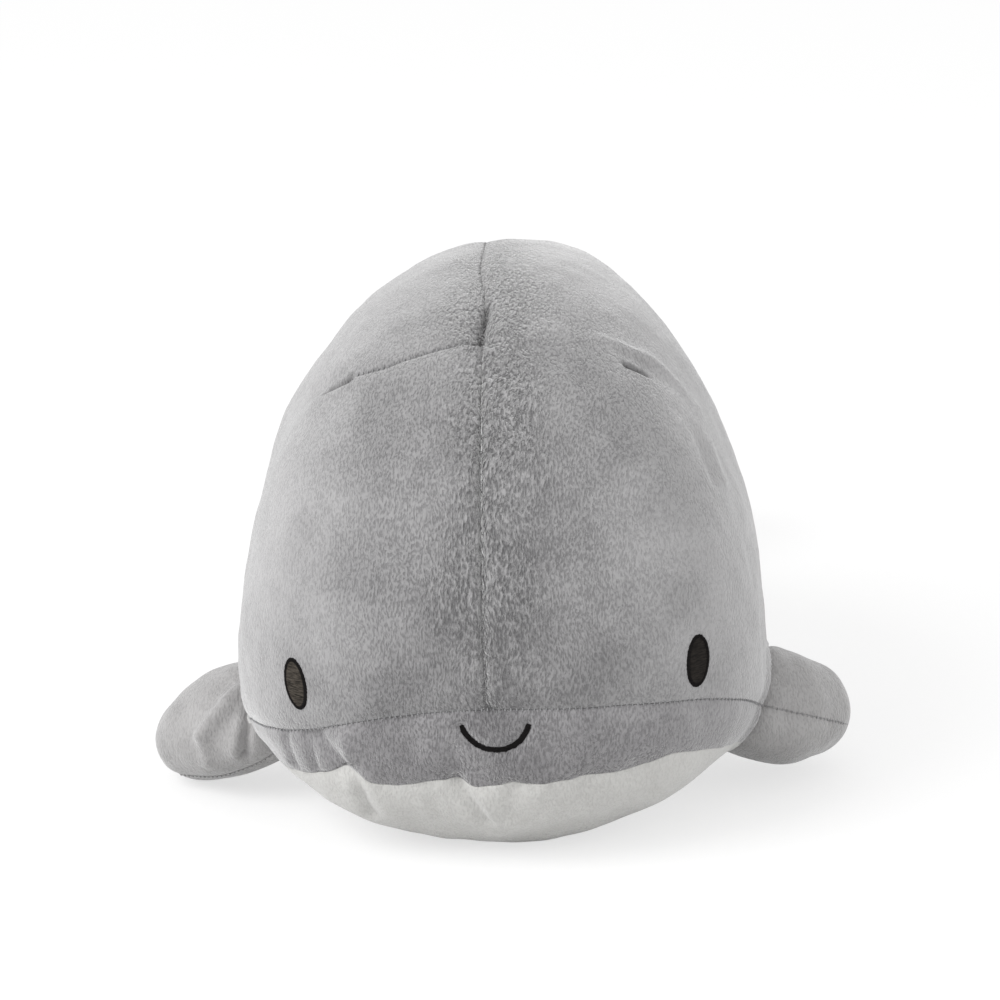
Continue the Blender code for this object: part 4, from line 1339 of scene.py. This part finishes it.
# %% [markdown]
# ## Embroidered eyes and mouth
# The eyes and the smile are satin stitch: threads laid side by side across a narrow band, so the band
# is rounded and each thread is a small ridge. The bands lie on the skin, so every point is found by
# looking from in front of the face straight back to the fabric.

# %% Looking from in front of the face back to the fabric
FACE_LOOK = 0.05


def skin_tree(pieces):
    """Search tree over the outer fabric of some pieces."""
    points, faces = [], []
    for piece in pieces:
        faces += [[index + len(points) for index in polygon.vertices] for polygon in piece.data.polygons]
        points += [vertex.co.copy() for vertex in piece.data.vertices]
    return BVHTree.FromPolygons(points, faces)


face_tree = skin_tree([*side_skins.values(), chin_skin])


def on_skin(place, inward):
    """The point of the fabric behind a place."""
    inward = Vector(inward)
    return face_tree.ray_cast(Vector(place) - inward * FACE_LOOK, inward, FACE_LOOK * 3)[0]


print("the fabric at the nose", on_skin((0, NOSE_Y, NOSE_HEIGHT), (0, 1, 0)))

# %% Satin stitch on the face
THREAD_PITCH = 0.00055
THREAD_STEPS = 4
THREAD_RIDGE_SHARE = 0.35
THREAD_SINK = 0.0005
RAGGED_SHARE = 0.13
END_SHARE, END_SLOPE = 0.75, 6
BAND_COLUMNS, RIM_SEED = 9, 81


def ridge_of(index):
    """Rise of a thread's round back at a step across it."""
    return math.sin(math.pi * (index % THREAD_STEPS + 0.5) / THREAD_STEPS)


def satin_band(name, places, out, width, height, finish, slot, closed, seed):
    """A rounded band of threads across a path of places on the skin."""
    draw = np.random.default_rng(seed)
    places = np.array([tuple(place) for place in places])
    run = run_along(places)
    threads = int(run[-1] / THREAD_PITCH)
    track = read_along(np.linspace(0, run[-1], threads * THREAD_STEPS, endpoint=not closed), run, places)
    slope = np.gradient(track, axis=0)
    ends = [slope + track, track - slope]
    if closed:
        ends = [np.roll(track, steps, axis=0) for steps in (-2, 2)]
    ragged = draw.uniform(-RAGGED_SHARE, RAGGED_SHARE, (threads, 2))
    top, root = [], []
    for share in np.linspace(-1, 1, BAND_COLUMNS):
        for index, middle in enumerate(track):
            aside = out.cross(Vector(ends[0][index] - ends[1][index])).normalized()
            end = 1 if closed else min(index, len(track) - 1 - index) / len(track)
            uneven_half = 1 + ragged[index // THREAD_STEPS % threads, int(share > 0)]
            half = width / 2 * uneven_half * min(1, END_SHARE + END_SLOPE * end)
            spot = on_skin(Vector(middle) + aside * half * share, -out)
            lift = height * math.sqrt(1 - share ** 2) * (1 - THREAD_RIDGE_SHARE * (1 - ridge_of(index)))
            top.append(spot + out * (lift - THREAD_SINK / 2))
            root.append(spot - out * THREAD_SINK)
    points = [tuple(spot) for spot in top + root]
    return make_piece(name, points, shell_faces(BAND_COLUMNS, len(track), closed), finish, slot)


# %% Embroidery threads as materials
STRAND_SIZE, STRAND_DEPTH = 0.0008, 0.00025
THREAD_ROUGHNESS = 0.7
BAND_GRAIN, EYE_GRAIN = (0.35, 1.0, 1.6), (0.2, 0.2, 1.6)


def thread_finish(name, dark, pale, grain=BAND_GRAIN, gloss=0.25):
    """Embroidery thread between two colours."""
    finish = Finish(name, Roughness=THREAD_ROUGHNESS, Specular_IOR_Level=gloss)
    strands = finish.noise(STRAND_SIZE, 3.0, 0.6, finish.scaled(grain))
    finish.set(Base_Color=finish.mix(finish.between(strands, *CLOUD_STEP), dark, pale))
    finish.relief(strands, STRAND_DEPTH)
    return finish.material


black_thread = thread_finish(
    "black_satin_thread", (0.003, 0.0026, 0.0026), (0.010, 0.0085, 0.0085), gloss=0.10)
left_brown = thread_finish(
    "dark_brown_satin_thread", (0.006, 0.005, 0.0045), (0.026, 0.022, 0.019), EYE_GRAIN, 0.12)
right_brown = thread_finish(
    "brown_satin_thread", (0.009, 0.0075, 0.006), (0.085, 0.073, 0.060), EYE_GRAIN, 0.12)
print("threads", black_thread.name, left_brown.name, right_brown.name)

# %% Sew the eyes
EYE_WIDTH = 0.0143
EYE_TALL = 0.0255
EYE_RIM = 0.0022
EYE_RIM_HEIGHT = 0.0011
EYE_FILL_HEIGHT, EYE_FILL_DOME_SHARE, EYE_THREAD_HEIGHT = 0.0008, 0.4, 0.0002
EYE_STEPS, EYE_COLUMNS = 72, 22
EYE_RIM_COVER_SHARE = 0.32
EYES = {"left": (0.0945, 0.0996, math.radians(-5), left_brown),
        "right": (-0.0921, 0.0930, math.radians(9), right_brown)}


def sew_eye(side_name, x, z, tilt, brown):
    """An embroidered oval: a fill of level threads and a satin rim."""
    middle = on_skin((x, NOSE_Y + FACE_LOOK, z), (0, 1, 0))
    way = np.array([(middle.y - NOSE_Y) / BODY_LENGTH])
    out = Vector(body_normal(way, top_turn(way, np.array([x])))[0])
    across = (Matrix.Rotation(tilt, 3, out) @ Vector((0, 0, 1)).cross(out)).normalized()
    up = out.cross(across)
    radius = ((EYE_WIDTH - EYE_RIM) / 2, (EYE_TALL - EYE_RIM) / 2)
    ring = [on_skin(middle + across * radius[0] * math.cos(turn) + up * radius[1] * math.sin(turn), -out)
            for turn in np.linspace(0, 2 * np.pi, EYE_STEPS + 1)]
    name = "eye_" + side_name
    rim = satin_band(name + "_rim", ring, out, EYE_RIM, EYE_RIM_HEIGHT, black_thread, "dark_thread",
                     closed=True, seed=RIM_SEED)
    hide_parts(name + "_outline")
    rows = int(EYE_TALL / THREAD_PITCH) * THREAD_STEPS
    inner = [value - EYE_RIM * EYE_RIM_COVER_SHARE for value in radius]
    top, root = [], []
    for row in range(rows):
        share = -1 + 2 * (row + 0.5) / rows
        for column in range(EYE_COLUMNS):
            aside = (-1 + 2 * column / (EYE_COLUMNS - 1)) * math.sqrt(1 - share ** 2)
            spot = on_skin(middle + across * inner[0] * aside + up * inner[1] * share, -out)
            full = 1 - EYE_FILL_DOME_SHARE * (share ** 2 + aside ** 2)
            top.append(spot + out * (EYE_FILL_HEIGHT * full - EYE_THREAD_HEIGHT * (1 - ridge_of(row))))
            root.append(spot - out * THREAD_SINK)
    points = [tuple(spot) for spot in top + root]
    fill = make_piece(name + "_threads", points, shell_faces(rows, EYE_COLUMNS), brown, "brown_thread")
    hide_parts(name + "_fill")


for side_name, values in EYES.items():
    sew_eye(side_name, *values)

# %% Sew the smile
SMILE_WIDTH = 0.0030
SMILE_HEIGHT, SMILE_SEED = 0.0011, 91
smile_places = [on_skin(place, (0, 1, 0)) for place in smile_line[::-1]]
smile = satin_band("smile", smile_places, Vector((0, -1, 0)), SMILE_WIDTH, SMILE_HEIGHT, black_thread,
                   "dark_thread", closed=False, seed=SMILE_SEED)
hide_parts("mouth_stitch")

# %% [markdown]
# ## Stitches in the seams
# Where the pile is short, the sewing thread shows as a row of tiny bridges over the crease, and the
# dark gaps between them read as a dotted line. They follow the mouth seam, the dart on the head and
# the leading edge of each flipper.

# %% Rows of small stitches
STITCH_PITCH = 0.0027
STITCH_REACH = 0.00105
STITCH_RADIUS = 0.00034
STITCH_SIDES, STITCH_RINGS = 6, 5
STITCH_ARCH = STITCH_RADIUS * 1.4
STITCH_TAPER = 1.06
grey_thread = thread_finish("grey_sewing_thread", (0.22, 0.22, 0.225), (0.36, 0.36, 0.365))


def stitch_row(name, line, out, depth, fine=1.0):
    """Threads that bridge a crease along a line, at a depth below the plain surface."""
    run = run_along(line)
    steps = np.arange(STITCH_PITCH / 2, run[-1], STITCH_PITCH)
    middles, outs = (read_along(steps, run, values) for values in (line, out))
    depths = np.interp(steps, run, depth)
    points, faces = [], []
    for middle, normal, sink, ahead in zip(middles, outs, depths, np.gradient(middles, axis=0)):
        normal, ahead = Vector(normal).normalized(), Vector(ahead).normalized()
        aside, start = normal.cross(ahead), len(points)
        for share in np.linspace(-1, 1, STITCH_RINGS):
            size = STITCH_RADIUS * fine * math.sqrt(STITCH_TAPER - share ** 2)
            sunk = sink + STITCH_ARCH * share ** 2
            centre = Vector(middle) + aside * STITCH_REACH * fine * share - normal * sunk
            for corner in range(STITCH_SIDES):
                turn = 2 * math.pi * corner / STITCH_SIDES
                points.append(tuple(centre + ahead * size * math.cos(turn) + normal * size * math.sin(turn)))
        faces += [tuple(start + index for index in face) for face in tube_faces(STITCH_RINGS, STITCH_SIDES)]
    return make_piece(name, points, faces, grey_thread, "grey_pile", None)


# %% Stitch the mouth seam and the dart
SEAM_LIFT = 0.0009
MOUTH_STITCHES_END, MOUTH_STITCH_STEPS = 0.42, 220
DART_STITCHES_FROM = 4
front_ways = even_ways(MOUTH_STITCH_STEPS)
front_ways = front_ways[front_ways < MOUTH_STITCHES_END]
mouth_ways = np.concatenate((front_ways[::-1], front_ways[1:]))
mouth_turns = np.concatenate([side * seam_turn(ways, side) for side, ways in
                              ((-1, front_ways[::-1]), (1, front_ways[1:]))])
mouth_points, mouth_outs = body_point(mouth_ways, mouth_turns), body_normal(mouth_ways, mouth_turns)
depth = -body_relief(mouth_points, mouth_ways) - SEAM_LIFT
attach(stitch_row("mouth_seam_stitches", mouth_points, mouth_outs, depth), "body")
dart_ways = (dart_line[:, 1] - NOSE_Y) / BODY_LENGTH
dart_outs = body_normal(dart_ways, top_turn(dart_ways, dart_line[:, 0]))
depth = -body_relief(dart_line, dart_ways) - SEAM_LIFT
stitched = slice(DART_STITCHES_FROM, None)
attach(stitch_row("dart_stitches", dart_line[stitched], dart_outs[stitched], depth[stitched]), "body")

# %% Stitch the flippers
FLIPPER_STITCHES, FLIPPER_STITCH_SIZE = (0.06, 0.90, 60), 0.72
for side_name in SIDES:
    share = np.linspace(*FLIPPER_STITCHES)
    angle = np.full(share.shape, SEAM_TURNS[side_name])
    line, beyond = (flipper_point(side_name, share, angle + turn) for turn in (0, np.pi))
    nearby = [flipper_point(side_name, share, angle + turn) for turn in (-TURN_STEP, TURN_STEP)]
    normal = np.cross(nearby[1] - nearby[0], np.gradient(line, axis=0))
    normal *= np.sign(np.sum(normal * (line - beyond), axis=-1, keepdims=True))
    normal /= np.linalg.norm(normal, axis=-1, keepdims=True)
    depth = -flipper_relief(side_name, line, share, angle) - SEAM_LIFT
    row = stitch_row("flipper_" + side_name + "_stitches", line, normal, depth, FLIPPER_STITCH_SIZE)
    across_hinge(row, side_name)

# %% [markdown]
# ## Floor, lamps and background
# The photograph has a plain white ground and soft light from all sides, a little more from above on
# the left. The white comes from what the camera sees of the floor and the world, and the whale is lit
# at a plain level. The floor keeps a faint shadow under the whale.

# %% The floor
FLOOR_GLOW = 0.66
FLOOR_SHADE = 0.36
FLOOR_HALF = 6.0


def build_floor():
    """A wide floor that looks white, and still shows the whale's shadow."""
    mesh = bpy.data.meshes.new("floor")
    corners = [(x * FLOOR_HALF, y * FLOOR_HALF, 0) for x, y in ((-1, -1), (1, -1), (1, 1), (-1, 1))]
    mesh.from_pydata(corners, [], [(0, 1, 2, 3)])
    floor = bpy.data.objects.new("floor", mesh)
    bpy.context.scene.collection.objects.link(floor)
    finish = Finish("white_floor", Base_Color=(0.8, 0.8, 0.8, 1), Roughness=1.0, Specular_IOR_Level=0.0)
    seen = finish.node("ShaderNodeLightPath")
    glow = finish.node("ShaderNodeEmission", Color=(1.0, 1.0, 1.0), Strength=FLOOR_GLOW)
    shade = finish.node("ShaderNodeBsdfDiffuse", Color=(FLOOR_SHADE,) * 3)
    both = finish.node("ShaderNodeAddShader", sockets=(glow, shade))
    choice = finish.node("ShaderNodeMixShader", sockets=(seen, Amount(finish.shader.outputs[0]), both))
    join(finish.nodes["Material Output"].inputs["Surface"], choice)
    mesh.materials.append(finish.material)


build_floor()
print("floor glow", FLOOR_GLOW)

# %% World and lamps
SKY_STRENGTH = 0.80
LAMPS = (("lamp_above_left", (-1.5, -1.1, 1.7), 1.3, 34), ("lamp_right", (1.8, -1.0, 0.9), 1.2, 5))


def build_world():
    """A world that lights the whale plainly and looks white to the camera."""
    world = bpy.data.worlds.new("studio")
    world.use_nodes = True
    nodes = world.node_tree.nodes
    path = nodes.new("ShaderNodeLightPath")
    camera_ray, glossy_ray, through_ray = (Amount(path.outputs["Is " + kind + " Ray"])
                                           for kind in ("Camera", "Glossy", "Transmission"))
    strength = (camera_ray + glossy_ray + through_ray) * (1 - SKY_STRENGTH) + SKY_STRENGTH
    nodes["Background"].inputs["Color"].default_value = (1, 1, 1, 1)
    join(nodes["Background"].inputs["Strength"], strength)
    bpy.context.scene.world = world


def build_lamp(name, place, size, power):
    """A soft lamp that looks at the whale."""
    lamp = bpy.data.lights.new(name, "AREA")
    lamp.energy, lamp.size = power, size
    holder = bpy.data.objects.new(name, lamp)
    holder.location = place
    holder.rotation_euler = (SIGHT_POINT - holder.location).to_track_quat("-Z", "Y").to_euler()
    bpy.context.scene.collection.objects.link(holder)


build_world()
for values in LAMPS:
    build_lamp(*values)
bpy.context.scene.view_settings.view_transform = "Standard"
print("lamps", [name for name, *_ in LAMPS])
